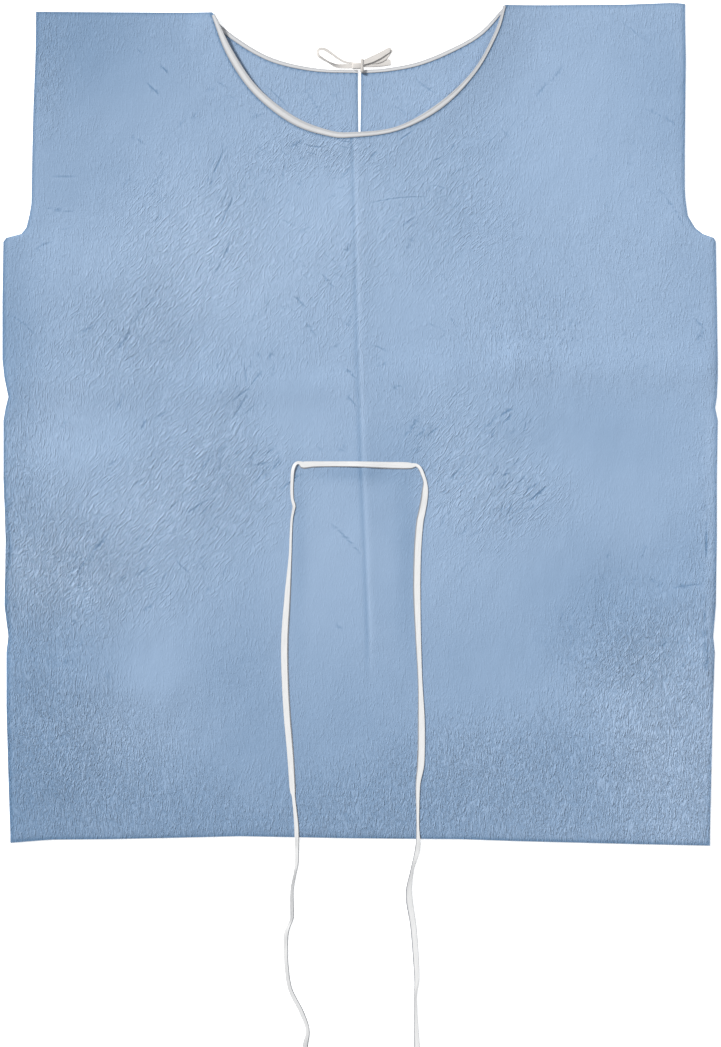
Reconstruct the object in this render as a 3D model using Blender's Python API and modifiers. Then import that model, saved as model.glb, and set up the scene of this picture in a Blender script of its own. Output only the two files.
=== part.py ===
"""Disposable exam gown, laid out flat with its front panel up.

Metres, +X across the chest, +Y towards the neck, +Z up from the surface that the gown lies on.
The origin is under the middle of the gown's own box. Each panel and each tape is a wall of its own.
"""

import math
from typing import NamedTuple

import bpy
import numpy as np
from mathutils import Vector
from mathutils.bvhtree import BVHTree

WALL = 0.001
GAP = 0.0003
LAYER = WALL + GAP

# Heights of the middle of each wall
BACK_LEVEL = WALL / 2
BACK_NECK_LEVEL = BACK_LEVEL + LAYER
FRONT_LEVEL = BACK_LEVEL + LAYER

# The neck tape is folded over the cloth's edge
FLAP_MARGIN = 0.002
NECK_RISE = 0.065
BACK_SLOPE = 0.020
FRONT_SLOPE = 0.014

LONGEST_ROW = 0.045
YOKE_FOOT = 0.29
YOKE_ROWS = 5
CURVE_STEPS = 12
SHOULDER_SPANS = 5
BACK_SHOULDER_SPANS = 4
SHOULDER_CLOSING = 1.6
NECK_SPANS = 9
BACK_NECK_SPANS = 6

TAPE_WIDTH = 0.0095
BELT_SPACING = 0.014
BELT_READINGS = 4
# Where what is under the belt is read, in half widths from its middle
BELT_FEELERS = (-1.1, -0.5, 0.0, 0.5, 1.1)
NARROWEST = 0.25
BELT_REST = 0.0004


class Level(NamedTuple):
    """The gown's width at one height: where its left and right edges lie."""

    height: float
    left: float
    right: float


class Trim(NamedTuple):
    """A point of the finished neckline: its place, the tape's seen width and how far the cloth stands up."""

    x: float
    y: float
    width: float
    lift: float


class Fold(NamedTuple):
    """A soft ridge in the front panel, between two points."""

    x0: float
    y0: float
    x1: float
    y1: float
    width: float
    height: float


class Stop(NamedTuple):
    """A point of the belt's route: its place and the tape's width as seen from above."""

    x: float
    y: float
    seen: float


class Strand(NamedTuple):
    """A point of a bow's ribbon: its middle, the width seen from above and its tilt in degrees."""

    x: float
    y: float
    z: float
    half: float
    tilt: float


SIDE_EDGES = (
    Level(0.535, -0.4118, 0.4124),
    Level(0.463, -0.4131, 0.4137),
    Level(0.402, -0.4156, 0.4130),
    Level(0.349, -0.4169, 0.4124),
    Level(0.295, -0.4178, 0.4124),
    Level(0.280, -0.4181, 0.4140),
    Level(0.265, -0.4207, 0.4162),
    Level(0.250, -0.4245, 0.4251),
    Level(0.242, -0.4308, 0.4353),
    Level(0.237, -0.4499, 0.4493),
    Level(0.232, -0.4538, 0.4518),
    Level(0.158, -0.4550, 0.4531),
    Level(0.082, -0.4550, 0.4543),
    Level(0.059, -0.4524, 0.4543),
    Level(0.035, -0.4474, 0.4531),
    Level(0.021, -0.4510, 0.4510),
    Level(0.005, -0.4537, 0.4543),
    Level(-0.070, -0.4537, 0.4531),
    Level(-0.147, -0.4512, 0.4531),
    Level(-0.230, -0.4524, 0.4518),
    Level(-0.269, -0.4474, 0.4485),
    Level(-0.289, -0.4499, 0.4505),
    Level(-0.360, -0.4499, 0.4480),
    Level(-0.450, -0.4474, 0.4460),
    Level(-0.520, -0.4450, 0.4444),
)
# Left and right edge of the slit between the two back panels
OPENING = (
    Level(0.450, -0.0034, 0.0015),
    Level(0.374, -0.0028, -0.0002),
    Level(-0.535, -0.0079, -0.0053),
)
# The pressed crease down the centre front
CREASE = ((0.371, -0.0117), (0.158, -0.0067), (-0.054, -0.0003), (-0.138, 0.0035), (-0.274, 0.0086), (-0.535, 0.0086))
HEM = (
    (-0.445, -0.5312), (-0.394, -0.5271), (-0.318, -0.5264), (-0.229, -0.5245), (-0.153, -0.5226), (-0.020, -0.5251),
    (0.050, -0.5258), (0.127, -0.5264), (0.203, -0.5290), (0.279, -0.5309), (0.355, -0.5328), (0.444, -0.5347),
)
SHOULDERS = ((-0.4118, 0.5239), (-0.192, 0.5224), (0.182, 0.5318), (0.337, 0.5330), (0.398, 0.5353), (0.4124, 0.534))

FRONT_NECK = (
    Trim(-0.184, 0.5200, 0.0090, 0.0058),
    Trim(-0.161, 0.4728, 0.0095, 0.0052),
    Trim(-0.129, 0.4268, 0.0095, 0.0036),
    Trim(-0.083, 0.3906, 0.0090, 0.0028),
    Trim(-0.0402, 0.3735, 0.0080, 0.0028),
    Trim(-0.0117, 0.3708, 0.0076, 0.0030),
    Trim(0.0455, 0.3776, 0.0076, 0.0034),
    Trim(0.099, 0.4073, 0.0075, 0.0044),
    Trim(0.1435, 0.4494, 0.0065, 0.0056),
    Trim(0.171, 0.4989, 0.0060, 0.0062),
    Trim(0.181, 0.5310, 0.0055, 0.0062),
)
CREASE_TRIM = 5
BACK_NECK_LEFT = (
    Trim(-0.192, 0.5205, 0.0055, 0.0),
    Trim(-0.158, 0.4921, 0.0060, 0.0),
    Trim(-0.113, 0.4661, 0.0060, 0.0),
    Trim(-0.059, 0.4528, 0.0060, 0.0),
    Trim(-0.0034, 0.4496, 0.0060, 0.0),
)
BACK_NECK_RIGHT = (
    Trim(0.0015, 0.4496, 0.0060, 0.0),
    Trim(0.035, 0.4528, 0.0060, 0.0),
    Trim(0.073, 0.4604, 0.0060, 0.0),
    Trim(0.112, 0.4760, 0.0060, 0.0),
    Trim(0.151, 0.4978, 0.0060, 0.0),
    Trim(0.181, 0.5290, 0.0055, 0.0),
)

# The pressed centre crease, the fold across the chest and the swells between them
FOLDS = (
    Fold(-0.012, 0.340, 0.000, -0.054, 0.012, 0.0016),
    Fold(0.000, -0.054, 0.009, -0.300, 0.014, 0.0011),
    Fold(-0.430, 0.060, -0.180, 0.047, 0.030, 0.0020),
    Fold(-0.180, 0.047, -0.020, 0.047, 0.020, 0.0012),
    Fold(0.050, 0.065, 0.200, 0.075, 0.024, 0.0014),
    Fold(0.200, 0.075, 0.430, 0.070, 0.026, 0.0018),
    Fold(-0.370, 0.200, -0.290, 0.175, 0.040, 0.0022),
    Fold(-0.400, -0.055, -0.290, -0.045, 0.026, 0.0014),
    Fold(-0.430, -0.310, -0.250, -0.340, 0.034, 0.0026),
    Fold(-0.390, -0.440, -0.340, -0.250, 0.038, 0.0018),
    Fold(0.330, -0.400, 0.430, -0.310, 0.040, 0.0024),
    Fold(0.370, -0.235, 0.440, -0.215, 0.030, 0.0018),
    Fold(0.110, 0.045, 0.200, 0.010, 0.034, 0.0014),
    Fold(0.240, 0.300, 0.380, 0.230, 0.046, 0.0016),
    Fold(-0.260, 0.420, -0.190, 0.350, 0.044, 0.0014),
    Fold(0.180, -0.090, 0.290, -0.150, 0.046, 0.0014),
)

# The whole belt is one tape. Its run across the centre front is tacked down and both ends are free
BELT_RUN = (
    Stop(-0.0772, -0.0512, 0.0089),
    Stop(-0.0448, -0.0497, 0.0089),
    Stop(-0.0067, -0.0502, 0.0089),
    Stop(0.0314, -0.0519, 0.0091),
    Stop(0.0657, -0.0522, 0.0083),
)
BELT_LEFT = (
    Stop(-0.0826, -0.0540, 0.0057), Stop(-0.0854, -0.0629, 0.0044),
    Stop(-0.0866, -0.0819, 0.0038), Stop(-0.0824, -0.1035, 0.0041), Stop(-0.0869, -0.1213, 0.0032),
    Stop(-0.0890, -0.1695, 0.0038), Stop(-0.0924, -0.2191, 0.0079), Stop(-0.0958, -0.2737, 0.0095),
    Stop(-0.0953, -0.3219, 0.0095), Stop(-0.0928, -0.3689, 0.0095), Stop(-0.0885, -0.4197, 0.0093),
    Stop(-0.0859, -0.4616, 0.0079), Stop(-0.0843, -0.4743, 0.0038), Stop(-0.0807, -0.5137, 0.0057),
    Stop(-0.0808, -0.5544, 0.0044), Stop(-0.0868, -0.5912, 0.0025), Stop(-0.0864, -0.6242, 0.0055),
    Stop(-0.0943, -0.6509, 0.0064), Stop(-0.0940, -0.6877, 0.0055), Stop(-0.0890, -0.7169, 0.0051),
    Stop(-0.0746, -0.7461, 0.0057), Stop(-0.0669, -0.7690, 0.0051), Stop(-0.0702, -0.7906, 0.0076),
    Stop(-0.0733, -0.8261, 0.0095), Stop(-0.0714, -0.8757, 0.0095),
)
BELT_RIGHT = (
    Stop(0.0746, -0.0552, 0.0057), Stop(0.0815, -0.0673, 0.0055),
    Stop(0.0829, -0.0845, 0.0071), Stop(0.0778, -0.1162, 0.0089), Stop(0.0736, -0.1530, 0.0098),
    Stop(0.0718, -0.2127, 0.0098), Stop(0.0735, -0.2686, 0.0076), Stop(0.0759, -0.3245, 0.0057),
    Stop(0.0775, -0.3778, 0.0095), Stop(0.0769, -0.4286, 0.0097), Stop(0.0731, -0.4591, 0.0057),
    Stop(0.0730, -0.5086, 0.0032), Stop(0.0723, -0.5378, 0.0064), Stop(0.0655, -0.5671, 0.0038),
    Stop(0.0617, -0.5975, 0.0086), Stop(0.0672, -0.6369, 0.0076), Stop(0.0702, -0.6737, 0.0076),
    Stop(0.0717, -0.7106, 0.0061), Stop(0.0703, -0.7461, 0.0033), Stop(0.0719, -0.7906, 0.0076),
    Stop(0.0733, -0.8274, 0.0095), Stop(0.0702, -0.8757, 0.0095),
)

# The bow at the centre back: its knot sits on the ends of the neck tape
KNOT_LOW = Vector((-0.0045, 0.4468, 0.0039))
KNOT_HIGH = Vector((0.0088, 0.4636, 0.0104))
KNOT_ROUNDING = 0.0025
BOW_LEFT = (
    Strand(-0.0049, 0.4528, 0.0068, 0.0028, 45.0), Strand(-0.0194, 0.4532, 0.0050, 0.0050, 60.0),
    Strand(-0.0308, 0.4552, 0.0053, 0.0050, 78.0), Strand(-0.0410, 0.4604, 0.0054, 0.0050, 82.0),
    Strand(-0.0498, 0.4661, 0.0054, 0.0050, 84.0), Strand(-0.0541, 0.4703, 0.0054, 0.0050, 86.0),
    Strand(-0.0542, 0.4745, 0.0054, 0.0050, 86.0), Strand(-0.0511, 0.4771, 0.0054, 0.0050, 86.0),
    Strand(-0.0448, 0.4765, 0.0054, 0.0050, 84.0), Strand(-0.0371, 0.4720, 0.0054, 0.0050, 84.0),
    Strand(-0.0283, 0.4650, 0.0054, 0.0050, 84.0), Strand(-0.0194, 0.4598, 0.0056, 0.0050, 82.0),
    Strand(-0.0049, 0.4576, 0.0070, 0.0028, 70.0),
)
BOW_RIGHT = (
    Strand(0.0106, 0.4600, 0.0060, 0.0030, 0.0), Strand(0.0200, 0.4648, 0.0030, 0.0036, 0.0),
    Strand(0.0300, 0.4702, 0.0014, 0.0038, 0.0), Strand(0.0365, 0.4737, 0.0012, 0.0038, 0.0),
    Strand(0.0392, 0.4751, 0.0018, 0.0038, 0.0), Strand(0.0400, 0.4756, 0.0034, 0.0038, 0.0),
    Strand(0.0392, 0.4751, 0.0050, 0.0038, 0.0), Strand(0.0365, 0.4737, 0.0056, 0.0038, 0.0),
    Strand(0.0300, 0.4702, 0.0060, 0.0038, 0.0), Strand(0.0200, 0.4648, 0.0072, 0.0036, 0.0),
    Strand(0.0106, 0.4600, 0.0086, 0.0030, 0.0),
)
BOW_TAIL = (
    Strand(0.0091, 0.4560, 0.0046, 0.0020, 0.0), Strand(0.0150, 0.4566, 0.0026, 0.0022, 0.0),
    Strand(0.0220, 0.4572, 0.0010, 0.0026, 0.0), Strand(0.0310, 0.4584, 0.0008, 0.0026, 0.0),
    Strand(0.0390, 0.4594, 0.0008, 0.0026, 0.0),
)

CLOTH_BLUE = (0.33, 0.47, 0.68, 1.0)
TAPE_WHITE = (0.84, 0.85, 0.86, 1.0)


def clear_scene():
    for obj in list(bpy.data.objects):
        bpy.data.objects.remove(obj, do_unlink=True)


def collection_named(name):
    group = bpy.data.collections.new(name)
    bpy.context.scene.collection.children.link(group)
    return group


def material(name, colour, roughness):
    made = bpy.data.materials.new(name)
    made.use_nodes = True
    shader = made.node_tree.nodes["Principled BSDF"]
    shader.inputs["Base Color"].default_value = colour
    shader.inputs["Roughness"].default_value = roughness
    shader.inputs["Metallic"].default_value = 0.0
    return made


def unit(vectors):
    return vectors / np.linalg.norm(vectors, axis=-1, keepdims=True)


def smooth(rows):
    """A dense Catmull-Rom curve through the rows, for every column at once."""
    table = np.array(rows, float)
    padded = np.vstack([2 * table[0] - table[1], table, 2 * table[-1] - table[-2]])
    share = np.linspace(0.0, 1.0, CURVE_STEPS, endpoint=False)[:, None]
    dense = []
    for before, start, end, after in zip(padded, padded[1:], padded[2:], padded[3:]):
        bend = 2 * before - 5 * start + 4 * end - after
        swing = 3 * (start - end) + after - before
        dense.append(start + share * ((end - before) + share * (bend + share * swing)) / 2)
    return np.vstack(dense + [table[-1:]])


def evenly(curve, spans, measured=2):
    """The curve read at even distances, measured over its first columns."""
    steps = np.linalg.norm(np.diff(curve[:, :measured], axis=0), axis=1)
    along = np.concatenate([[0.0], np.cumsum(steps)])
    wanted = np.linspace(0.0, along[-1], spans + 1)
    return np.stack([np.interp(wanted, along, column) for column in curve.T], axis=1)


def at_height(levels, height):
    """Left and right edge at a height."""
    table = np.array(sorted(levels), float)
    return tuple(np.interp(height, table[:, 0], table[:, column]) for column in (1, 2))


def along_table(table, value):
    rows = np.array(sorted(table), float)
    return float(np.interp(value, rows[:, 0], rows[:, 1]))


def front_bounds(height):
    left, right = at_height(SIDE_EDGES, height)
    return (0.0, 0.5, 1.0), (left, along_table(CREASE, height), right)


def back_left_bounds(height):
    return (0.0, 1.0), (at_height(SIDE_EDGES, height)[0], at_height(OPENING, height)[0])


def back_right_bounds(height):
    return (0.0, 1.0), (at_height(OPENING, height)[1], at_height(SIDE_EDGES, height)[1])


def row_levels():
    """Heights of the rows below the yoke: each level of the side edges, and more where they are far apart."""
    heights = sorted(level.height for level in SIDE_EDGES if level.height < YOKE_FOOT)
    rows = [heights[0]]
    for height in heights[1:]:
        parts = math.ceil((height - rows[-1]) / LONGEST_ROW)
        rows.extend(np.linspace(rows[-1], height, parts + 1)[1:])
    return rows


def inward(points):
    """The level direction from each point of a neckline, drawn left to right, into the cloth."""
    tangent = unit(np.gradient(points[:, :2], axis=0))
    return np.stack([tangent[:, 1], -tangent[:, 0]], axis=1)


def neck_edge(finished):
    """The raw edge of the cloth, inside the tape that is folded over it."""
    rows = finished.copy()
    rows[:, :2] += inward(finished) * LAYER
    return rows


def shoulder_points(corner, tip, spans, towards):
    """Top points of a shoulder seam, from its tip to just before the neck corner, closer near the corner."""
    points = []
    for share in (np.arange(spans, 0, -1) / spans) ** SHOULDER_CLOSING:
        x = corner + share * (tip - corner)
        lean = unit((1 - share) ** 2 * towards + (1 - (1 - share) ** 2) * np.array([0.0, -1.0]))
        points.append((x, along_table(SHOULDERS, x), *lean))
    return np.array(points)


def top_edge(neck, spans, left_shoulder, right_shoulder):
    """Every top point of a panel, left to right: x, y, and the level direction of its rows."""
    lean = inward(neck)
    parts = [np.column_stack([neck[:, :2], lean])]
    if left_shoulder is not None:
        parts.insert(0, shoulder_points(neck[0, 0], left_shoulder, spans, lean[0]))
    if right_shoulder is not None:
        parts.append(shoulder_points(neck[-1, 0], right_shoulder, spans, lean[-1])[::-1])
    return np.vstack(parts)


def panel_rows(top, turns, slope, bounds):
    """The level places of a panel's points: a row for each height, a column for each top point."""
    columns = []
    levels = row_levels()
    for (x, y, lean_x, lean_y), turn in zip(top, turns):
        lean = np.array([lean_x, lean_y])
        edge = np.array([x, y])
        crest = edge + lean * turn
        foot = edge + lean * (turn + slope)
        shares, places = bounds(foot[1])
        share = np.interp(foot[0], places, shares)
        heights = [*levels, *np.linspace(levels[-1], foot[1], YOKE_ROWS + 1)[1:-1]]
        column = []
        for height in heights:
            shares, places = bounds(height)
            column.append((np.interp(share, shares, places), height))
        column.insert(0, (column[0][0], along_table(HEM, column[0][0])))
        column += [tuple(foot), tuple(crest), tuple(edge)]
        columns.append(column)
    return np.array(columns).transpose(1, 0, 2)


def away_from(points, edge):
    """Distance of each point from the nearest point of an edge, and that point's index."""
    spread = np.linalg.norm(points[..., None, :] - edge[:, :2], axis=-1)
    return spread.min(axis=-1), spread.argmin(axis=-1)


def sliding_max(values, count):
    """The highest of each run of values."""
    return np.lib.stride_tricks.sliding_window_view(values, count).max(axis=1)


def ridge(points, fold):
    start = np.array([fold.x0, fold.y0])
    run = np.array([fold.x1, fold.y1]) - start
    share = np.clip(((points - start) @ run) / (run @ run), 0.0, 1.0)
    distance = np.linalg.norm(points - start - share[..., None] * run, axis=-1)
    return fold.height * np.exp(-((distance / fold.width) ** 2))


def front_heights(points, neck):
    """Height of the front panel's middle: flat on the back panels, with its folds and its lifted neckline."""
    distance, nearest = away_from(points, neck)
    rise = neck[nearest, 3] * np.clip(1 - distance / NECK_RISE, 0.0, 1.0) ** 2
    swell = sum(ridge(points, fold) for fold in FOLDS)
    return FRONT_LEVEL + np.maximum(rise, swell)


def grid_object(name, points, group, finish, wall=WALL):
    """An open sheet through a grid of points, rows first, given its wall by Solidify."""
    rows, columns = points.shape[:2]
    at = np.arange(rows * columns).reshape(rows, columns)
    corners = (at[:-1, :-1], at[:-1, 1:], at[1:, 1:], at[1:, :-1])
    mesh = bpy.data.meshes.new(name)
    mesh.from_pydata(points.reshape(-1, 3).tolist(), [], np.stack(corners, axis=-1).reshape(-1, 4).tolist())
    mesh.materials.append(finish)
    mesh.shade_smooth()
    obj = bpy.data.objects.new(name, mesh)
    group.objects.link(obj)
    thick = obj.modifiers.new("Wall", "SOLIDIFY")
    thick.thickness = wall
    thick.offset = 0.0
    thick.use_even_offset = True
    return obj


def neck_tape(name, crest, edge, widths, group, finish):
    """A tape folded over a panel's neck edge, made from that edge's own points, moved out by one layer."""
    along = unit(np.gradient(edge, axis=0))
    across = unit(crest - edge)
    outward = unit(np.cross(along, -across))
    flap = across * (widths - LAYER)[:, None]
    over = outward * LAYER
    turn = -across * (GAP + WALL / 2)
    section = [edge + flap + over, edge + turn + over, edge + turn - over, edge + flap - over]
    return grid_object(name, np.array(section)[::-1], group, finish)


def ribbon(name, middles, halves, group, finish):
    """A flat tape along its middle line, with half of its width to each side."""
    return grid_object(name, np.array([middles + halves, middles - halves]), group, finish)


def front_panel(group, finish, tape_finish):
    curve = smooth(FRONT_NECK)
    middle = CREASE_TRIM * CURVE_STEPS
    left = evenly(curve[:middle + 1], NECK_SPANS)
    right = evenly(curve[middle:], NECK_SPANS)
    neck = neck_edge(np.vstack([left, right[1:]]))
    top = top_edge(neck, SHOULDER_SPANS, SHOULDERS[0][0], SHOULDERS[-1][0])
    widths = neck[:, 2]
    turns = np.concatenate([
        np.full(SHOULDER_SPANS, widths[0]), widths, np.full(SHOULDER_SPANS, widths[-1])
    ]) + FLAP_MARGIN
    level = panel_rows(top, turns, FRONT_SLOPE, front_bounds)
    heights = front_heights(level, neck_edge(curve))
    points = np.dstack([level, heights])
    panel = grid_object("front_panel", points, group, finish)
    inner = slice(SHOULDER_SPANS, -SHOULDER_SPANS)
    neck_tape("neck_tape_front", points[-2, inner], points[-1, inner], widths, group, tape_finish)
    return panel


def back_panel(name, tape_name, neckline, bounds, group, finish, tape_finish):
    """Half of the back, flat on the surface, its neck edge raised by the tape that is folded under it."""
    neck = neck_edge(evenly(smooth(neckline), BACK_NECK_SPANS))
    is_left = neckline[0].x < 0
    shoulder = SHOULDERS[0][0] if is_left else SHOULDERS[-1][0]
    top = top_edge(neck, BACK_SHOULDER_SPANS, shoulder if is_left else None, None if is_left else shoulder)
    width = neck[0, 2]
    turns = np.full(len(top), width + FLAP_MARGIN)
    level = panel_rows(top, turns, BACK_SLOPE, bounds)
    heights = np.full(level.shape[:2], BACK_LEVEL)
    inner = slice(BACK_SHOULDER_SPANS, None) if is_left else slice(0, -BACK_SHOULDER_SPANS)
    heights[-2:, inner] = BACK_NECK_LEVEL
    points = np.dstack([level, heights])
    grid_object(name, points, group, finish)
    neck_tape(tape_name, points[-2, inner], points[-1, inner], neck[:, 2], group, tape_finish)


def surface_of(obj):
    """A function that gives the height of an object's top under a point, or 0 beside it."""
    graph = bpy.context.evaluated_depsgraph_get()
    tree = BVHTree.FromObject(obj, graph)

    def height(x, y):
        hit = tree.ray_cast(Vector((x, y, 1.0)), Vector((0.0, 0.0, -1.0)))
        return hit[0].z if hit[0] else 0.0

    return height


def belt(support, group, finish):
    """The belt as one tape from free end to free end, cut where its tacked run begins and ends.

    It lies on what is under it. Where it is seen narrow, its inner edge stands up.
    """
    route = [*reversed(BELT_LEFT), *BELT_RUN, *BELT_RIGHT]
    curve = smooth(route)
    length = np.linalg.norm(np.diff(curve[:, :2], axis=0), axis=1).sum()
    line = evenly(curve, math.ceil(length / BELT_SPACING) * BELT_READINGS)
    along = unit(np.gradient(line[:, :2], axis=0))
    side = np.stack([along[:, 1], -along[:, 0]], axis=1)
    seen = np.clip(line[:, 2] / TAPE_WIDTH, NARROWEST, 1.0)
    rise = np.sqrt(1 - seen ** 2) * TAPE_WIDTH / 2
    reach = side * (seen * TAPE_WIDTH / 2)[:, None]
    under = np.array([
        max(support(*(place + share * half)) for share in BELT_FEELERS)
        for place, half in zip(line[:, :2], reach)
    ])
    padded = np.pad(under, BELT_READINGS, mode="edge")
    resting = sliding_max(padded, 2 * BELT_READINGS + 1)
    middles = np.column_stack([line[:, :2], resting + BELT_REST + rise + WALL / 2])
    halves = np.column_stack([reach, rise])
    middles, halves, along = (rows[::BELT_READINGS] for rows in (middles, halves, along))
    first, last = (
        np.linalg.norm(middles[:, :2] - (stop.x, stop.y), axis=1).argmin() for stop in (BELT_RUN[0], BELT_RUN[-1])
    )
    for name, start, end in (("belt_left", 0, first), ("belt_run", first, last), ("belt_right", last, None)):
        stretch = slice(start, None if end is None else end + 1)
        places = middles[stretch].copy()
        if start:
            places[0, :2] += along[start] * GAP
        if end is not None:
            places[-1, :2] -= along[end] * GAP
        ribbon(name, places, halves[stretch], group, finish)


def bow_strand(name, strands, spans, group, finish):
    """One ribbon of the bow, its width turned by the tilt about its own line."""
    line = evenly(smooth(strands), spans, measured=3)
    along = unit(np.gradient(line[:, :3], axis=0))
    level = unit(np.column_stack([along[:, 1], -along[:, 0], np.zeros(len(along))]))
    raised = np.cross(level, along)
    tilt = np.radians(line[:, 4])[:, None]
    halves = (level * np.cos(tilt) + raised * np.sin(tilt)) * line[:, 3:4]
    return ribbon(name, line[:, :3], halves, group, finish)


def knot(group, finish):
    bpy.ops.mesh.primitive_cube_add(size=1.0, location=(KNOT_LOW + KNOT_HIGH) / 2)
    obj = bpy.context.object
    obj.name = "bow_knot"
    obj.scale = KNOT_HIGH - KNOT_LOW
    bpy.ops.object.transform_apply(location=False, rotation=False, scale=True)
    obj.data.materials.append(finish)
    for owner in list(obj.users_collection):
        owner.objects.unlink(obj)
    group.objects.link(obj)
    soft = obj.modifiers.new("Rounding", "BEVEL")
    soft.width = KNOT_ROUNDING
    soft.segments = 3
    obj.data.shade_smooth()
    return obj


def main():
    clear_scene()
    gown = collection_named("exam_gown")
    front_cloth = material("front_cloth", CLOTH_BLUE, 0.85)
    back_cloth = material("back_cloth", CLOTH_BLUE, 0.85)
    neck_finish = material("neck_tape", TAPE_WHITE, 0.75)
    belt_finish = material("belt_tape", TAPE_WHITE, 0.75)

    front = front_panel(gown, front_cloth, neck_finish)
    back_panel("back_panel_left", "neck_tape_back_left", BACK_NECK_LEFT, back_left_bounds,
               gown, back_cloth, neck_finish)
    back_panel("back_panel_right", "neck_tape_back_right", BACK_NECK_RIGHT, back_right_bounds,
               gown, back_cloth, neck_finish)

    knot(gown, neck_finish)
    bow_strand("bow_loop_left", BOW_LEFT, 26, gown, neck_finish)
    bow_strand("bow_loop_right", BOW_RIGHT, 20, gown, neck_finish)
    bow_strand("bow_tail", BOW_TAIL, 6, gown, neck_finish)

    belt(surface_of(front), gown, belt_finish)


main()
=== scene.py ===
"""A disposable exam gown laid out flat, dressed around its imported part.

Metres, in the part's own frame: +X across the chest, +Y towards the neck, +Z up from the surface.
Every piece of cloth and tape is a thin shell of its own, and lies on what is under it.
"""

import logging
import math
from dataclasses import dataclass, field
from enum import Enum
from typing import Callable, NamedTuple, Optional

import bmesh
import bpy
import numpy as np
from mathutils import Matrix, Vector


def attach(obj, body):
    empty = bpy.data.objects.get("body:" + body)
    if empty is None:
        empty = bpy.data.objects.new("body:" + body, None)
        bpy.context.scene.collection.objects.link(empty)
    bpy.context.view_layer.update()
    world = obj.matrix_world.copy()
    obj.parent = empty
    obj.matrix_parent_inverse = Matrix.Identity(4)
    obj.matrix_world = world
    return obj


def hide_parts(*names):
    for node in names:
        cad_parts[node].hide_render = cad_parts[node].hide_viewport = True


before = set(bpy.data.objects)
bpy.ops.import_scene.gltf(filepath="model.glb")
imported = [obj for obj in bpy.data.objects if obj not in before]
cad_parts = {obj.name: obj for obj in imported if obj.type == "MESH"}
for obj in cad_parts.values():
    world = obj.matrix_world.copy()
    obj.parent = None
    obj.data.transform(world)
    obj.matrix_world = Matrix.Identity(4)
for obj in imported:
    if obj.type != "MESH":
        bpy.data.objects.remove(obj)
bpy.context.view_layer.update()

LOG = logging.getLogger("exam_gown")

MM = 0.001
CLOTH = 0.0005
TAPE = 0.00035
CLEAR = 0.0001

# Heights of the middle of the cloth where it lies flat
BACK_LEVEL = 0.00055
BACK_DROP = 0.0002
FRONT_LEVEL = 0.0018
SEAM_LEVEL = 0.0013
SEAM_BAND = 0.007
# How far from its neck edge the front is lifted, and where the back's rise over its folded tape fades
NECK_RISE = 0.065
BACK_EASE = (0.008, 0.026)
# The pressed centre line: where it fades out above the hem, over what length, and its depth in millimetres
CENTRE_FOOT = -0.250
CENTRE_FADE = 0.09
CENTRE_DEPTH = 0.32
# Its two lips in millimetres: how far to the right their middle lies, and how wide they are
LEFT_LIP = (-2.5, 2.0)
RIGHT_LIP = (5.0, 4.0)
CENTRE_LIP_RISE = 0.9
# Its painted shade in the valley, painted light on its right lip and painted shade on its left one
CENTRE_PAINTED_SHADING = (1.05, 0.40, 0.10)

CURVE_STEPS = 12
YOKE_FOOT = 0.29
SHOULDER_CLOSING = 1.25

TAPE_WIDTH = 0.0095
NARROWEST = 0.25
RUN_SPACING = 0.0028
# How far one edge of the belt stands up where it is fully tilted
TILT_RISE = 0.0011
# Where the belt feels for what lies under it, in half widths to the side of its middle line
FEELERS = (-1.1, -0.5, 0.0, 0.5, 1.1)
# Over how many points to each side it keeps its highest support, and over how many that is evened out
HOLD = 3
EASE = 2
KNOT_ROUNDING = 0.0018
# Where the painted shade of the groove between the knot's lumps lies, and how wide it is
KNOT_GROOVE = 0.0012
GROOVE_WIDTH = 0.0014
# Lines along the flap of a neck tape: how far from its fold, and how much painted shade each gets as a border
NECK_FLAP = ((1.0, 1.0), (0.84, 0.60), (0.68, 0.0), (0.36, 0.0), (0.16, 0.55))

# A sharp crease, in millimetres: half of its valley's width, how much wider a deeper one is, and how far it
# counts. Then how it tapers to its ends, and its lips' width and height and its valley's depth as shares.
CREASE_HALF = 0.70
CREASE_WIDENING = 0.8
CREASE_REACH = 6.0
CREASE_TAPER = 0.6
LIP_SPREAD = 2.2
LIP_RISE = 0.75
VALLEY_FALL = 1.15
# Painted light on its lips and painted shade in its valley, and the depth in millimetres at which that is
# reached
LIP_PAINTED_LIGHT = 0.45
VALLEY_PAINTED_SHADE = 1.45
FULL_SHADE_DEPTH = 0.26
# How far below the flat cloth creases go at most, in metres, and where they and the ripples fade at edges
DEEPEST = 0.0003
CREASE_FADE = 0.003
EDGE_FADE = 0.012
# For each finer halving of the mesh, how near to a crease and for how deep a one it is made, in millimetres
FINER_REACHES = ((3.4, 0.0), (1.8, 0.27))

# How a cluster's creases differ: their places, leans in degrees and bows, and their lengths and depths
SPRAY_SEED = 7
SPRAY_SPREAD = 0.55
LEAN_SPREAD = 10.0
BOW_SPREAD = 0.5
LENGTH_SHARES = (0.5, 1.3)
DEPTH_SHARES = (0.4, 1.3)

# The crepe's larger ripples: the shortest and longest wave, their lean and its spread in degrees
WAVE_COUNT = 40
COCKLE = (0.030, 0.070, 0.0, 60.0)
STRAIGHT = (0.013, 0.026, 0.0, 16.0)
LEANING = (0.012, 0.024, -40.0, 12.0)
LEAST_STRAIGHT = 0.3
RIPPLE_FLOOR = 2.4

# Painted shade as a dark line along the cloth's own edges, and the neck tape's painted shadow as a dark line
# beside it:
# how wide it is and how strong, and how far off from the tape, in its own widths
EDGE_LINE = 0.0018
EDGE_PAINTED_SHADE = 1.6
TAPE_LINE = 0.0012
TAPE_PAINTED_SHADOW = 1.7
TAPE_OFFSET = 0.2


class Level(NamedTuple):
    """The gown's width at one height: where its left and right edges lie."""

    height: float
    left: float
    right: float


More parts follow.
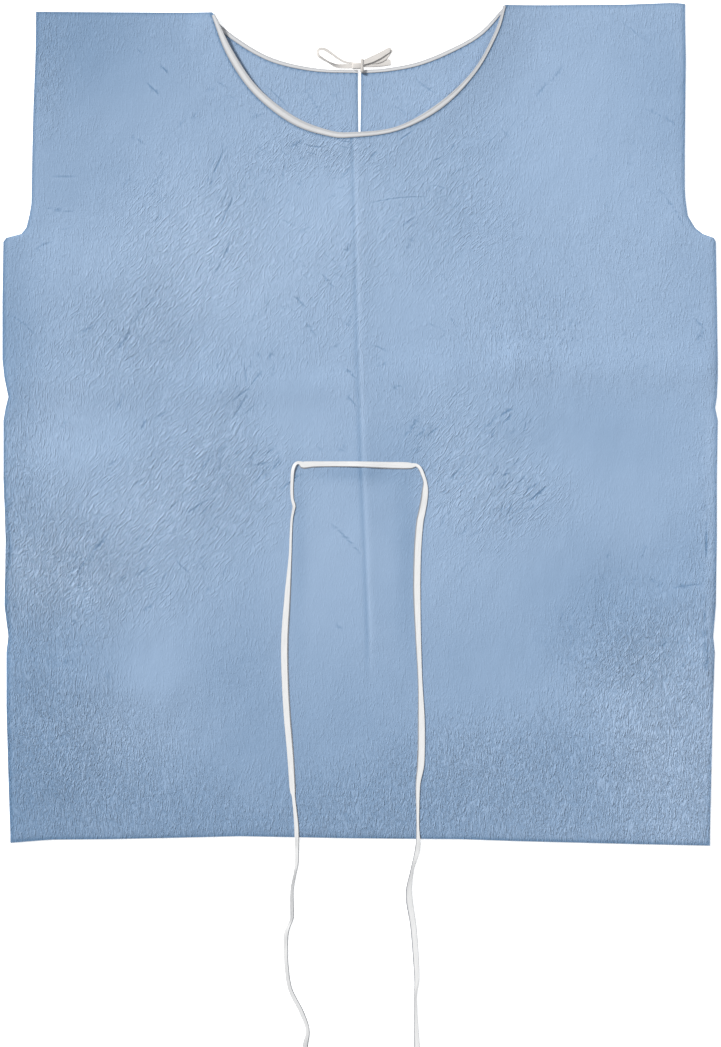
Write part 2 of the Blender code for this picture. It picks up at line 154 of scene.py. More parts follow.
class Trim(NamedTuple):
    """A point of the neckline: its place, the tape's seen width and how far the cloth stands up."""

    x: float
    y: float
    width: float
    lift: float


class Fold(NamedTuple):
    """A soft ridge between two points."""

    x0: float
    y0: float
    x1: float
    y1: float
    width: float
    height: float


class Crease(NamedTuple):
    """A sharp crease in millimetres: its ends, its bow to the left and its depth."""

    x0: float
    y0: float
    x1: float
    y1: float
    bow: float
    depth: float


class Spray(NamedTuple):
    """A cluster of creases in millimetres: its middle and reach, and their lean, number, length and depth."""

    x: float
    y: float
    across: float
    along: float
    lean: float
    count: int
    length: float
    depth: float


class Patch(NamedTuple):
    """A round area of crinkle, calm or painted shade: its middle, its reach across and along, and its
    strength.
    """

    x: float
    y: float
    across: float
    along: float
    share: float


class Stop(NamedTuple):
    """A point of the belt's route: its place, the tape's seen width and its right edge's tilt upwards."""

    x: float
    y: float
    seen: float
    tilt: float = 0.0


class Strand(NamedTuple):
    """A point of a tape of the bow: its middle, half of its width and its tilt in degrees."""

    x: float
    y: float
    z: float
    half: float
    tilt: float


class Side(Enum):
    """Which half of the back a panel is."""

    LEFT = -1
    RIGHT = 1


def rows_of(kind: type, rows: tuple[tuple, ...]) -> tuple:
    """Plain rows of numbers, each as one of the named kind."""
    return tuple(kind(*row) for row in rows)


SIDE_EDGES = rows_of(Level, (
    (0.535, -0.4118, 0.4124), (0.463, -0.4131, 0.4137), (0.402, -0.4156, 0.413), (0.349, -0.4169, 0.4124),
    (0.295, -0.4178, 0.4124), (0.28, -0.4181, 0.414), (0.265, -0.4207, 0.4162), (0.25, -0.4245, 0.4251),
    (0.242, -0.4308, 0.4353), (0.237, -0.4499, 0.4493), (0.232, -0.4538, 0.4518), (0.158, -0.455, 0.4531),
    (0.082, -0.455, 0.4543), (0.059, -0.4524, 0.4543), (0.035, -0.4474, 0.4531), (0.021, -0.451, 0.451),
    (0.005, -0.4537, 0.4543), (-0.07, -0.4537, 0.4531), (-0.147, -0.4512, 0.4531), (-0.23, -0.4524, 0.4518),
    (-0.269, -0.4474, 0.4485), (-0.289, -0.4499, 0.4505), (-0.36, -0.4499, 0.448), (-0.45, -0.4474, 0.446),
    (-0.52, -0.445, 0.4444),
))
# How far the front's edge is drawn in from the back's, so that the back shows beside it
DRAWN_IN = (
    (0.535, 0.0), (-0.095, 0.0), (-0.108, 0.0022), (-0.135, 0.0034), (-0.16, 0.0048), (-0.18, 0.003),
    (-0.196, 0.0), (-0.535, 0.0),
)
OPENING = rows_of(Level, (
    (0.45, -0.003, 0.0008), (0.374, -0.0024, -0.0004), (-0.535, -0.0079, -0.0053),
))
# The pressed line down the centre front
CENTRE_LINE = (
    (0.371, -0.0117), (0.158, -0.0067), (-0.054, -0.0003), (-0.138, 0.0035), (-0.274, 0.0086),
    (-0.535, 0.0086),
)
HEM = (
    (-0.445, -0.5312), (-0.394, -0.5271), (-0.318, -0.5264), (-0.229, -0.5245), (-0.153, -0.5226),
    (-0.02, -0.5251), (0.05, -0.5258), (0.127, -0.5264), (0.203, -0.529), (0.279, -0.5309),
    (0.355, -0.5328), (0.444, -0.5347),
)
SHOULDERS = (
    (-0.4118, 0.5239), (-0.192, 0.5224), (0.182, 0.5318), (0.337, 0.533), (0.398, 0.5353), (0.4124, 0.534),
)

FRONT_NECK = rows_of(Trim, (
    (-0.184, 0.52, 0.0046, 0.0058), (-0.161, 0.4728, 0.0092, 0.0052), (-0.129, 0.4268, 0.0096, 0.0036),
    (-0.083, 0.3906, 0.0098, 0.0028), (-0.0402, 0.3735, 0.0076, 0.0028), (-0.0117, 0.3708, 0.0066, 0.003),
    (0.0455, 0.3776, 0.0052, 0.0034), (0.099, 0.4073, 0.0074, 0.0044), (0.1435, 0.4494, 0.0044, 0.0056),
    (0.171, 0.4989, 0.004, 0.0062), (0.181, 0.531, 0.0034, 0.0062),
))
CENTRE_TRIM = 5
BACK_NECK_LEFT = rows_of(Trim, (
    (-0.192, 0.5205, 0.0048, 0.0), (-0.158, 0.4921, 0.0056, 0.0), (-0.113, 0.4661, 0.0052, 0.0),
    (-0.059, 0.4528, 0.0042, 0.0), (-0.003, 0.4496, 0.0032, 0.0),
))
BACK_NECK_RIGHT = rows_of(Trim, (
    (0.0008, 0.4496, 0.0036, 0.0), (0.035, 0.4528, 0.0044, 0.0), (0.073, 0.4604, 0.0048, 0.0),
    (0.112, 0.476, 0.005, 0.0), (0.151, 0.4978, 0.0046, 0.0), (0.181, 0.529, 0.0034, 0.0),
))

FRONT_FOLDS = rows_of(Fold, (
    (-0.006, 0.33, 0.006, -0.054, 0.016, 0.0007), (0.006, -0.054, 0.016, -0.27, 0.016, 0.0006),
    (-0.43, 0.06, -0.18, 0.047, 0.03, 0.002), (-0.18, 0.047, -0.02, 0.047, 0.02, 0.0012),
    (0.05, 0.065, 0.2, 0.075, 0.024, 0.0014), (0.2, 0.075, 0.43, 0.07, 0.026, 0.0018),
    (-0.37, 0.2, -0.29, 0.175, 0.04, 0.0022), (-0.4, -0.055, -0.29, -0.045, 0.026, 0.0014),
    (-0.43, -0.31, -0.25, -0.34, 0.034, 0.0026), (-0.39, -0.44, -0.34, -0.25, 0.038, 0.0018),
    (0.33, -0.4, 0.43, -0.31, 0.04, 0.0024), (0.37, -0.235, 0.44, -0.215, 0.03, 0.0018),
    (0.11, 0.045, 0.2, 0.01, 0.034, 0.0014), (0.24, 0.3, 0.38, 0.23, 0.046, 0.0016),
    (-0.26, 0.42, -0.19, 0.35, 0.044, 0.0014), (0.18, -0.09, 0.29, -0.15, 0.046, 0.0014),
))

# Sharp creases of the front panel, in millimetres
FRONT_CREASES = rows_of(Crease, (
    (-174, 352, -187, 318, 1.8, 0.4), (-184, 246, -188, 230, 0.4, 0.24), (-139, 388, -120, 395, 0.8, 0.26),
    (-102, -41, -112, -49, 0.6, 0.3), (-119, -54, -129, -64, 0.4, 0.28), (-101, -84, -74, -62, 1.2, 0.5),
    (-38, -125, 2, -166, 1.2, 0.34), (-30, -253, -24, -262, 0.4, 0.24), (-284, 478, -275, 469, 0, 0.22),
    (-254, 455, -244, 445, 1, 0.45), (-271, 434, -254, 417, 0, 0.42), (-231, 377, -221, 389, 0, 0.25),
    (-216, 387, -205, 397, 0, 0.25), (-292, 365, -272, 355, 1, 0.25), (-169, 355, -174, 342, 0, 0.25),
    (-183, 340, -190, 326, 0, 0.25), (-180, 336, -186, 319, 0, 0.3), (-270, 298, -248, 321, 0, 0.25),
    (-305, 299, -292, 313, 0, 0.22), (-264, 255, -251, 270, 0, 0.22), (-170, 291, -178, 277, 0, 0.26),
    (-162, 289, -170, 270, 0.4, 0.5), (-170, 273, -178, 251, 1, 0.46), (-183, 436, -168, 427, 0, 0.22),
    (-197, 425, -183, 426, 0, 0.2), (-176, 415, -158, 415, 0, 0.2), (-381, 247, -366, 250, 0, 0.2),
    (-404, 313, -356, 314, 1, 0.25), (-402, 276, -361, 270, -1, 0.25), (-70, 355, -45, 352, -1, 0.35),
    (-69, 346, -54, 342, 0, 0.25), (-54, 340, -42, 341, 0, 0.2), (-28, 360, -10, 358, 0, 0.4),
    (-28, 354, -13, 350, 0, 0.25), (-89, 351, -74, 361, 0, 0.42), (-125, 356, -132, 338, 0, 0.25),
    (-101, 349, -93, 340, 0, 0.22), (-96, 330, -99, 309, 0, 0.25), (-130, 303, -134, 289, 0, 0.22),
    (-12, 328, -26, 311, 1, 0.3), (-31, 294, -41, 286, 0, 0.25), (-10, 231, -24, 214, 0, 0.42),
    (-10, 206, -31, 196, 1, 0.25), (-8, 142, -19, 120, 0, 0.28), (-49, 192, -32, 172, 0, 0.4),
    (-85, 164, -68, 148, 0, 0.42), (-70, 131, -56, 112, 0, 0.3), (-93, 154, -84, 143, 0, 0.2),
    (-103, 153, -93, 145, 0, 0.2), (-89, 214, -82, 204, 0, 0.22), (-101, 262, -80, 252, -1, 0.25),
    (-80, 244, -63, 251, 0, 0.22), (-136, 253, -140, 234, 0, 0.25), (-117, 163, -121, 139, 0, 0.25),
    (-140, 130, -132, 143, 0, 0.22), (12, 338, 21, 347, 0, 0.4), (1, 328, 10, 335, 0, 0.22),
    (49, 360, 67, 373, 0, 0.45), (19, 319, 29, 326, 0, 0.22), (9, 280, 86, 289, 3, 0.28),
    (39, 300, 50, 293, 0, 0.22), (35, 253, 49, 271, 0, 0.25), (52, 250, 71, 264, 1, 0.4),
    (63, 250, 73, 260, 0, 0.25), (113, 346, 120, 356, 0, 0.4), (91, 335, 101, 338, 0, 0.22),
    (114, 317, 139, 330, 0, 0.25), (91, 304, 111, 298, 1, 0.25), (105, 222, 117, 234, 0, 0.22),
    (68, 241, 56, 218, 1, 0.3), (103, 192, 110, 182, 0, 0.2), (99, 126, 109, 115, 0, 0.22),
    (85, 130, 97, 123, 0, 0.22), (113, 139, 122, 124, 0, 0.22), (2, 204, 12, 204, 0, 0.2),
    (257, 455, 240, 435, 1, 0.28), (240, 435, 223, 415, -1, 0.28), (177, 377, 190, 364, 0, 0.25),
    (404, 507, 407, 425, 0, 0.35), (358, 402, 406, 377, 2, 0.25), (378, 300, 411, 250, 2, 0.25),
    (332, 511, 365, 483, 1, 0.22), (-261, 162, -277, 145, 1, 0.3), (-277, 145, -290, 126, 0, 0.3),
    (-290, 126, -308, 95, 1, 0.42), (-186, 209, -191, 196, 0, 0.22), (-170, 228, -181, 206, 0, 0.28),
    (-225, 123, -233, 114, 0, 0.25), (-216, 112, -224, 102, 0, 0.25), (-356, 114, -334, 128, 1, 0.28),
    (-311, 16, -299, 39, 0, 0.28), (-270, 8, -280, -7, 0, 0.42), (-244, 18, -261, 8, 0, 0.28),
    (-381, -7, -371, 6, 0, 0.22), (-413, 222, -391, 232, 1, 0.3), (-301, -25, -292, -20, 0, 0.2),
    (-178, 18, -165, 31, 0, 0.3), (-184, -39, -168, -26, 0, 0.25), (-445, 139, -413, 114, 2, 0.25),
    (-149, 79, -144, 49, 1, 0.32), (-124, 69, -140, 49, 0, 0.36), (-140, 46, -163, 29, -1, 0.4),
    (-143, 41, -164, 6, 1, 0.38), (-132, 27, -148, 12, 0, 0.28), (-18, 72, -5, 57, 0, 0.42),
    (-18, 39, -4, 22, 0, 0.36), (61, -15, 76, 12, 1, 0.34), (70, -16, 86, -4, 0, 0.32),
    (81, -17, 99, -3, 0, 0.34), (94, -4, 117, 12, 1, 0.25), (40, 46, 52, 50, 0, 0.3),
    (117, 34, 127, 44, 0, 0.24), (15, 101, 34, 92, 1, 0.28), (-26, -35, -18, -26, 0, 0.22),
    (-56, -23, -46, -39, 0, 0.2), (-38, 97, -21, 105, 0, 0.2), (-145, 67, -137, 81, 0, 0.22),
    (177, 10, 194, 20, 1, 0.55), (181, 1, 193, 13, 0, 0.32), (160, -4, 174, 12, 0, 0.3),
    (152, -10, 165, 3, 0, 0.28), (249, 97, 261, 112, 0, 0.25), (261, 101, 275, 112, 0, 0.22),
    (423, 135, 437, 120, 1, 0.28), (426, 105, 437, 120, 0, 0.25), (264, 123, 271, 135, 0, 0.25),
    (236, 59, 247, 69, 0, 0.2), (-361, -192, -343, -167, 1, 0.42), (-343, -167, -318, -138, 1, 0.48),
    (-348, -180, -331, -153, 0, 0.32), (-320, -53, -309, -45, 0, 0.28), (-290, -79, -271, -67, 1, 0.32),
    (-305, -200, -297, -190, 0, 0.3), (-287, -191, -267, -180, -1, 0.32),
    (-277, -236, -263, -227, -1, 0.34), (-221, -114, -193, -95, 1, 0.42), (-204, -116, -191, -102, 0, 0.34),
    (-242, -106, -231, -97, 0, 0.32), (-254, -125, -242, -120, 0, 0.25), (-234, -172, -214, -190, -1, 0.32),
    (-206, -172, -196, -185, 0, 0.2), (-187, -126, -176, -134, 0, 0.2), (-206, -63, -186, -39, 1, 0.36),
    (-214, -78, -206, -70, 0, 0.3), (-179, -64, -177, -43, 0, 0.28), (-145, -55, -130, -32, 1, 0.3),
    (-137, -53, -115, -48, 1, 0.36), (-112, -58, -101, -43, 0, 0.42), (-130, -68, -122, -58, 0, 0.3),
    (-197, -134, -181, -130, 0, 0.2), (-176, -191, -169, -180, 0, 0.22), (-447, -228, -437, -232, 0, 0.3),
    (-446, -96, -445, -153, 0, 0.5), (-445, -153, -447, -197, 0, 0.5), (213, -98, 236, -79, 0, 0.6),
    (216, -81, 228, -72, 0, 0.34), (198, -76, 211, -63, 0, 0.36), (177, -65, 193, -62, 1, 0.34),
    (164, -74, 177, -51, 1, 0.36), (183, -81, 193, -70, 0, 0.3), (144, -49, 152, -39, 0, 0.25),
    (111, -73, 129, -53, 0, 0.28), (101, -121, 117, -109, 0, 0.26), (183, -117, 193, -104, 0, 0.3),
    (213, -109, 223, -102, 0, 0.25), (437, -100, 439, -130, 0, 0.35), (439, -130, 440, -185, 0, 0.45),
    (436, -215, 438, -270, 0, 0.34), (438, -262, 440, -332, 0, 0.38), (396, -208, 431, -203, 1, 0.3),
    (355, -172, 363, -153, 0, 0.22), (124, -191, 139, -172, 0, 0.2), (139, -142, 152, -134, 0, 0.2),
    (-166, 234, -174, 211, 0.8, 0.48), (-175, 211, -186, 190, 0.6, 0.4), (-187, 215, -193, 200, 0.4, 0.34),
))
FRONT_SPRAYS = rows_of(Spray, (
    (-172, -52, 34, 26, 52, 26, 12, 0.24), (-118, -50, 22, 22, 50, 12, 12, 0.28),
    (-185, -105, 34, 24, 48, 18, 12, 0.22), (-250, -160, 40, 34, 50, 20, 13, 0.22),
    (-320, -180, 44, 40, 50, 22, 14, 0.22), (-300, -60, 34, 34, 48, 10, 11, 0.18),
    (-205, -190, 30, 24, 52, 10, 11, 0.18), (80, -10, 34, 16, 42, 14, 12, 0.22),
    (130, -62, 36, 24, 56, 18, 12, 0.22), (188, -70, 30, 18, 48, 18, 13, 0.28),
    (180, -6, 26, 16, 58, 14, 12, 0.26), (200, -108, 26, 14, 56, 12, 10, 0.24),
    (118, -120, 30, 20, 54, 10, 11, 0.18), (190, 130, 60, 44, 36, 22, 9, 0.16),
    (262, 118, 40, 30, 52, 14, 10, 0.16), (350, 105, 44, 40, 60, 16, 10, 0.16),
    (112, 300, 50, 44, 38, 22, 12, 0.22), (60, 262, 40, 30, 34, 12, 11, 0.2),
    (-30, 330, 34, 22, 30, 12, 10, 0.2), (-60, 200, 44, 50, -48, 14, 11, 0.18),
    (-120, 300, 36, 40, 66, 14, 11, 0.2), (-180, 320, 28, 46, 64, 14, 12, 0.24),
    (-250, 300, 30, 40, 52, 12, 11, 0.2), (-270, 130, 40, 40, 56, 14, 12, 0.2),
    (-160, 50, 40, 30, 58, 14, 12, 0.22), (-105, 75, 30, 26, 70, 12, 10, 0.18),
    (20, 80, 24, 24, 40, 10, 9, 0.18), (170, 380, 50, 44, 40, 16, 12, 0.16),
    (330, 330, 50, 80, 64, 18, 12, 0.14), (330, -210, 50, 40, 66, 18, 10, 0.18),
    (270, -280, 50, 40, 70, 18, 10, 0.2), (400, -300, 40, 60, 60, 20, 12, 0.22),
    (-380, -300, 50, 80, 74, 24, 12, 0.18),
))

BACK_FOLDS = rows_of(Fold, (
    (-0.42, 0.07, -0.06, 0.05, 0.03, 0.00045), (0.06, 0.055, 0.42, 0.068, 0.028, 0.00045),
    (-0.33, 0.33, -0.21, 0.25, 0.05, 0.0004), (0.19, 0.29, 0.33, 0.2, 0.045, 0.0004),
    (-0.4, -0.33, -0.24, -0.38, 0.04, 0.00045), (0.15, -0.24, 0.35, -0.33, 0.05, 0.00045),
))
BACK_CREASES = rows_of(Crease, (
    (-120, 430, -92, 402, 1, 0.28), (-70, 425, -52, 396, 1, 0.24), (-140, 410, -118, 420, 1, 0.2),
    (70, 440, 96, 420, -1, 0.28), (96, 400, 128, 432, 1, 0.28), (40, 405, 62, 392, 1, 0.22),
    (-260, 180, -215, 215, 2, 0.28), (-160, -60, -120, -20, 1.5, 0.28), (180, 120, 230, 95, 2, 0.26),
    (240, -160, 275, -120, 1.5, 0.28), (-330, -220, -290, -190, 1.5, 0.28),
    (110, -340, 150, -390, 1.5, 0.26), (-300, 330, -262, 372, 2, 0.26), (-90, 220, -72, 180, 1, 0.26),
    (300, 330, 268, 290, 2, 0.28), (90, 40, 118, 66, 1, 0.24), (-240, -400, -205, -372, 1.5, 0.26),
    (330, -300, 352, -262, 2, 0.26), (-390, 60, -352, 84, 1.5, 0.24), (380, -60, 352, -24, 1.5, 0.26),
    (60, -200, 76, -160, 1, 0.26),
))
BACK_SPRAYS = rows_of(Spray, (
    (-60, 405, 60, 22, 50, 16, 12, 0.18), (80, 410, 50, 22, 44, 16, 12, 0.18),
    (-220, 200, 60, 50, 48, 16, 13, 0.2), (-150, -60, 60, 50, 52, 16, 13, 0.2),
    (-330, -240, 60, 60, 60, 16, 13, 0.2), (210, 110, 60, 60, 46, 16, 13, 0.2),
    (250, -150, 60, 50, 54, 16, 13, 0.2), (130, -370, 60, 50, 64, 16, 13, 0.2),
    (320, 320, 50, 60, 40, 14, 13, 0.18), (-330, 360, 50, 50, 52, 14, 13, 0.18),
))

BELT_RUN = rows_of(Stop, (
    (-0.0727, -0.0515, 0.0092), (-0.061, -0.0507, 0.008), (-0.0448, -0.0504, 0.0073),
    (-0.0067, -0.0505, 0.0074), (0.0314, -0.0517, 0.0086), (0.0568, -0.0522, 0.009),
    (0.0657, -0.0525, 0.007),
))
BELT_LEFT = rows_of(Stop, (
    (-0.0759, -0.0494, 0.0056), (-0.079, -0.0486, 0.0044), (-0.082, -0.0502, 0.0045, 0.4),
    (-0.0842, -0.054, 0.0047, 0.5), (-0.0857, -0.0604, 0.0047, 0.3), (-0.0864, -0.0705, 0.0044),
    (-0.0867, -0.0832, 0.0042), (-0.0862, -0.094, 0.004), (-0.0847, -0.0997, 0.0042),
    (-0.0837, -0.1041, 0.0044, -0.3), (-0.085, -0.1099, 0.0036), (-0.0869, -0.1213, 0.0032),
    (-0.0879, -0.1403, 0.0034), (-0.089, -0.1695, 0.0042), (-0.0924, -0.2191, 0.0079),
    (-0.0958, -0.2737, 0.0093), (-0.0953, -0.3219, 0.009), (-0.0928, -0.3689, 0.0088),
    (-0.0885, -0.4197, 0.0084), (-0.0859, -0.4616, 0.0076), (-0.0843, -0.4743, 0.0046),
    (-0.0807, -0.5137, 0.006), (-0.0808, -0.5544, 0.0052), (-0.0828, -0.569, 0.004, -0.6),
    (-0.0868, -0.5912, 0.0044, -0.7), (-0.0868, -0.619, 0.0052, -0.8), (-0.0872, -0.628, 0.0046, -0.5),
    (-0.0913, -0.638, 0.0048, 0.3), (-0.0945, -0.6496, 0.0064, -0.3), (-0.0944, -0.669, 0.0056),
    (-0.0937, -0.688, 0.0054, -0.3), (-0.089, -0.7169, 0.0054, -0.5), (-0.0746, -0.7461, 0.0058, -0.5),
    (-0.0669, -0.769, 0.005, -0.2), (-0.0702, -0.7906, 0.0072, -0.8), (-0.0733, -0.8261, 0.0092),
    (-0.0714, -0.8757, 0.0095),
))
BELT_RIGHT = rows_of(Stop, (
    (0.0709, -0.0517, 0.0046), (0.0757, -0.0556, 0.0046, -0.5), (0.0791, -0.0629, 0.0048, -0.3),
    (0.0822, -0.073, 0.005), (0.0823, -0.0832, 0.008), (0.081, -0.0959, 0.0089, 0.3),
    (0.0782, -0.1111, 0.0092), (0.0756, -0.1238, 0.0094), (0.0735, -0.1467, 0.0095),
    (0.0723, -0.1721, 0.0095), (0.0718, -0.2127, 0.0095), (0.0735, -0.2686, 0.0076),
    (0.0759, -0.3245, 0.006), (0.0775, -0.3778, 0.0092), (0.0769, -0.4286, 0.0095),
    (0.0731, -0.4591, 0.006), (0.073, -0.5086, 0.0038), (0.0728, -0.5378, 0.0068),
    (0.0655, -0.5671, 0.0046, 0.6), (0.0617, -0.5975, 0.0086, 0.3), (0.0672, -0.6369, 0.008),
    (0.0702, -0.6737, 0.0076), (0.0717, -0.704, 0.0066), (0.0703, -0.722, 0.004, 0.4),
    (0.0703, -0.7461, 0.0044, 0.3), (0.0719, -0.7906, 0.0074), (0.0733, -0.8274, 0.0092),
    (0.0702, -0.8757, 0.0095),
))

# The knot's lumps of wrapped tape: the low and the high corner of each
KNOT_LUMPS = (
    (Vector((-0.0104, 0.4508, 0.0022)), Vector((0.0010, 0.4590, 0.0054))),
    (Vector((0.0002, 0.4462, 0.0020)), Vector((0.0044, 0.4640, 0.0062))),
)
BOW_LEFT = rows_of(Strand, (
    (-0.0079, 0.4546, 0.0036, 0.0024, 2.0), (-0.0194, 0.4546, 0.003, 0.0027, 2.0),
    (-0.03, 0.4552, 0.003, 0.0024, 24.0), (-0.0371, 0.458, 0.0036, 0.0024, 62.0),
    (-0.0455, 0.4628, 0.0038, 0.0022, 66.0), (-0.052, 0.4668, 0.0038, 0.0021, 52.0),
    (-0.0542, 0.4712, 0.0038, 0.002, 30.0), (-0.053, 0.4752, 0.0038, 0.0019, 6.0),
    (-0.049, 0.4768, 0.0038, 0.0018, -4.0), (-0.043, 0.4752, 0.0038, 0.0018, -6.0),
    (-0.0371, 0.4712, 0.0036, 0.0017, -8.0), (-0.0283, 0.4648, 0.0035, 0.0015, -8.0),
    (-0.0194, 0.46, 0.0034, 0.0014, -6.0), (-0.0079, 0.458, 0.0034, 0.0015, -4.0),
))
BOW_RIGHT = rows_of(Strand, (
    (0.003, 0.4586, 0.0036, 0.0032, 0.0), (0.013, 0.4604, 0.0026, 0.0036, 0.0),
    (0.023, 0.4624, 0.0018, 0.004, 0.0), (0.0306, 0.4664, 0.0014, 0.0042, 0.0),
    (0.0362, 0.473, 0.0014, 0.0034, 0.0), (0.0386, 0.4758, 0.0018, 0.003, 0.0),
    (0.0372, 0.4756, 0.0024, 0.003, -1.0), (0.032, 0.4726, 0.0025, 0.0033, -2.0),
    (0.023, 0.4674, 0.003, 0.0038, -3.0), (0.013, 0.4626, 0.0038, 0.0038, -3.0),
    (0.003, 0.4588, 0.0048, 0.003, -2.0),
))
BOW_TAIL = rows_of(Strand, (
    (0.0035, 0.4556, 0.0034, 0.002, 0.0), (0.014, 0.4566, 0.0024, 0.003, 0.0),
    (0.024, 0.4582, 0.001, 0.004, 0.0), (0.032, 0.4594, 0.0007, 0.0042, 0.0),
    (0.0388, 0.46, 0.0007, 0.0036, 0.0),
))

# Where the crepe is strongly crinkled, upright and slanting
UPRIGHT_PATCHES = rows_of(Patch, (
    (-0.37, -0.4, 0.14, 0.12, 0.8), (-0.39, -0.19, 0.11, 0.09, 0.85), (0.0, -0.5, 0.46, 0.08, 0.62),
    (0.16, -0.42, 0.14, 0.07, 0.6), (0.4, -0.43, 0.13, 0.17, 0.9), (0.36, -0.31, 0.08, 0.07, 0.6),
    (-0.435, -0.1, 0.06, 0.2, 0.55), (0.44, -0.15, 0.04, 0.3, 0.35), (-0.4, 0.45, 0.04, 0.12, 0.5),
    (0.2, 0.11, 0.15, 0.13, 0.4), (-0.3, 0.11, 0.12, 0.13, 0.45), (0.3, -0.24, 0.09, 0.09, 0.45),
))
SLANT_PATCHES = rows_of(Patch, (
    (-0.18, -0.065, 0.1, 0.095, 0.95), (-0.265, -0.09, 0.05, 0.06, 0.5), (-0.34, -0.165, 0.12, 0.09, 0.95),
    (0.195, -0.07, 0.07, 0.08, 0.95), (-0.29, 0.1, 0.11, 0.055, 0.5), (0.36, -0.31, 0.07, 0.06, 0.6),
    (0.11, -0.04, 0.07, 0.08, 0.6), (-0.25, 0.19, 0.07, 0.12, 0.6), (-0.165, 0.24, 0.05, 0.08, 0.6),
    (-0.02, 0.2, 0.1, 0.11, 0.4), (0.12, 0.29, 0.08, 0.11, 0.45), (-0.05, 0.34, 0.08, 0.04, 0.6),
))
# Painted shade that darkens the cloth, and painted light where the strength is below zero; the narrow ones
# beside the belt are its painted shadow
SHADE_PATCHES = rows_of(Patch, (
    (-0.1, -0.54, 0.4, 0.19, 0.8), (-0.46, -0.48, 0.14, 0.22, 0.92), (-0.4, -0.3, 0.09, 0.07, 0.42),
    (0.27, -0.48, 0.09, 0.09, 0.35), (0.4, -0.4, 0.09, 0.1, -0.45), (-0.27, -0.38, 0.09, 0.08, -0.5),
    (-0.26, -0.06, 0.15, 0.11, -0.22), (-0.42, -0.02, 0.05, 0.12, -0.35), (-0.35, -0.2, 0.11, 0.08, -0.3),
    (0.32, -0.4, 0.09, 0.11, -0.3), (-0.05, -0.52, 0.08, 0.05, -0.3), (0.08, -0.33, 0.2, 0.11, 0.25),
    (0.305, -0.23, 0.12, 0.1, 0.6), (0.42, -0.15, 0.06, 0.09, 0.35), (-0.16, -0.32, 0.07, 0.11, 0.4),
    (0.3, 0.0, 0.12, 0.06, 0.38), (0.04, -0.05, 0.045, 0.1, 0.3), (-0.36, 0.5, 0.13, 0.12, 0.88),
    (-0.36, 0.31, 0.09, 0.06, 0.3), (-0.455, 0.1, 0.05, 0.16, 0.75), (-0.2, 0.215, 0.12, 0.1, -0.58),
    (-0.43, -0.09, 0.04, 0.05, 0.25), (-0.43, -0.2, 0.05, 0.045, -0.28), (0.145, -0.06, 0.06, 0.07, -0.25),
    (-0.255, -0.095, 0.05, 0.05, -0.2), (-0.345, -0.4, 0.05, 0.045, -0.28), (0.43, 0.15, 0.03, 0.1, 0.2),
    (0.27, -0.4, 0.06, 0.05, 0.3), (-0.02, 0.27, 0.08, 0.1, -0.25), (0.41, 0.42, 0.09, 0.1, 0.32),
    (-0.078, -0.15, 0.01, 0.11, 0.42), (0.06, -0.165, 0.017, 0.12, 0.6),
    (-0.005, -0.061, 0.062, 0.011, 0.62), (-0.452, -0.26, 0.01, 0.2, 0.75),
    (0.446, -0.2, 0.008, 0.22, -0.45),
))
# Painted shade of the back panels, and painted light where the strength is below zero
BACK_SHADES = rows_of(Patch, (
    (-0.12, -0.5, 0.38, 0.13, 0.35), (0.33, -0.33, 0.13, 0.16, 0.3), (-0.33, 0.12, 0.14, 0.11, 0.25),
    (0.22, 0.16, 0.15, 0.09, -0.25), (-0.26, -0.2, 0.12, 0.1, -0.2),
))
# The smoothest stretches, where the cloth is pulled flat
CALM_PATCHES = rows_of(Patch, (
    (0.28, -0.02, 0.12, 0.06, 0.8), (0.24, -0.19, 0.09, 0.07, 0.8), (-0.06, -0.2, 0.07, 0.16, 0.75),
    (0.03, -0.16, 0.06, 0.16, 0.75), (-0.29, 0.42, 0.09, 0.07, 0.75), (-0.08, 0.02, 0.05, 0.05, 0.7),
    (0.3, 0.42, 0.12, 0.08, 0.5), (-0.27, -0.3, 0.07, 0.06, 0.75), (-0.13, -0.44, 0.07, 0.07, 0.4),
    (0.165, -0.3, 0.08, 0.06, 0.7), (0.35, -0.08, 0.06, 0.09, 0.65), (0.05, 0.15, 0.06, 0.055, 0.55),
    (-0.05, 0.305, 0.05, 0.035, 0.5), (0.28, 0.31, 0.09, 0.05, 0.45), (-0.39, 0.31, 0.06, 0.05, 0.5),
))


def unit(vectors: np.ndarray) -> np.ndarray:
    """Vectors of length one."""
    return vectors / np.linalg.norm(vectors, axis=-1, keepdims=True)


def smooth(rows) -> np.ndarray:
    """Reads a dense Catmull-Rom curve through the rows, for every column at once.

    Args:
        rows: the points, each with as many numbers as wanted.

    Returns:
        The curve's points, with the given ones among them.
    """
    table = np.array(rows, float)
    padded = np.vstack([2 * table[0] - table[1], table, 2 * table[-1] - table[-2]])
    share = np.linspace(0.0, 1.0, CURVE_STEPS, endpoint=False)[:, None]
    dense = []
    for before, start, end, after in zip(padded, padded[1:], padded[2:], padded[3:]):
        bend = 2 * before - 5 * start + 4 * end - after
        swing = 3 * (start - end) + after - before
        dense.append(start + share * ((end - before) + share * (bend + share * swing)) / 2)
    return np.vstack(dense + [table[-1:]])


def length_along(curve: np.ndarray, measured: int) -> np.ndarray:
    """The distance from the curve's start to each of its points, measured over its first columns."""
    steps = np.linalg.norm(np.diff(curve[:, :measured], axis=0), axis=1)
    return np.concatenate([[0.0], np.cumsum(steps)])


def evenly(curve: np.ndarray, spans: int, measured: int = 2) -> np.ndarray:
    """Reads a curve at even distances.

    Args:
        curve: its points, one a row.
        spans: how many stretches to cut it into.
        measured: how many of the first columns are its place.

    Returns:
        spans + 1 points.
    """
    along = length_along(curve, measured)
    wanted = np.linspace(0.0, along[-1], spans + 1)
    return np.stack([np.interp(wanted, along, column) for column in curve.T], axis=1)


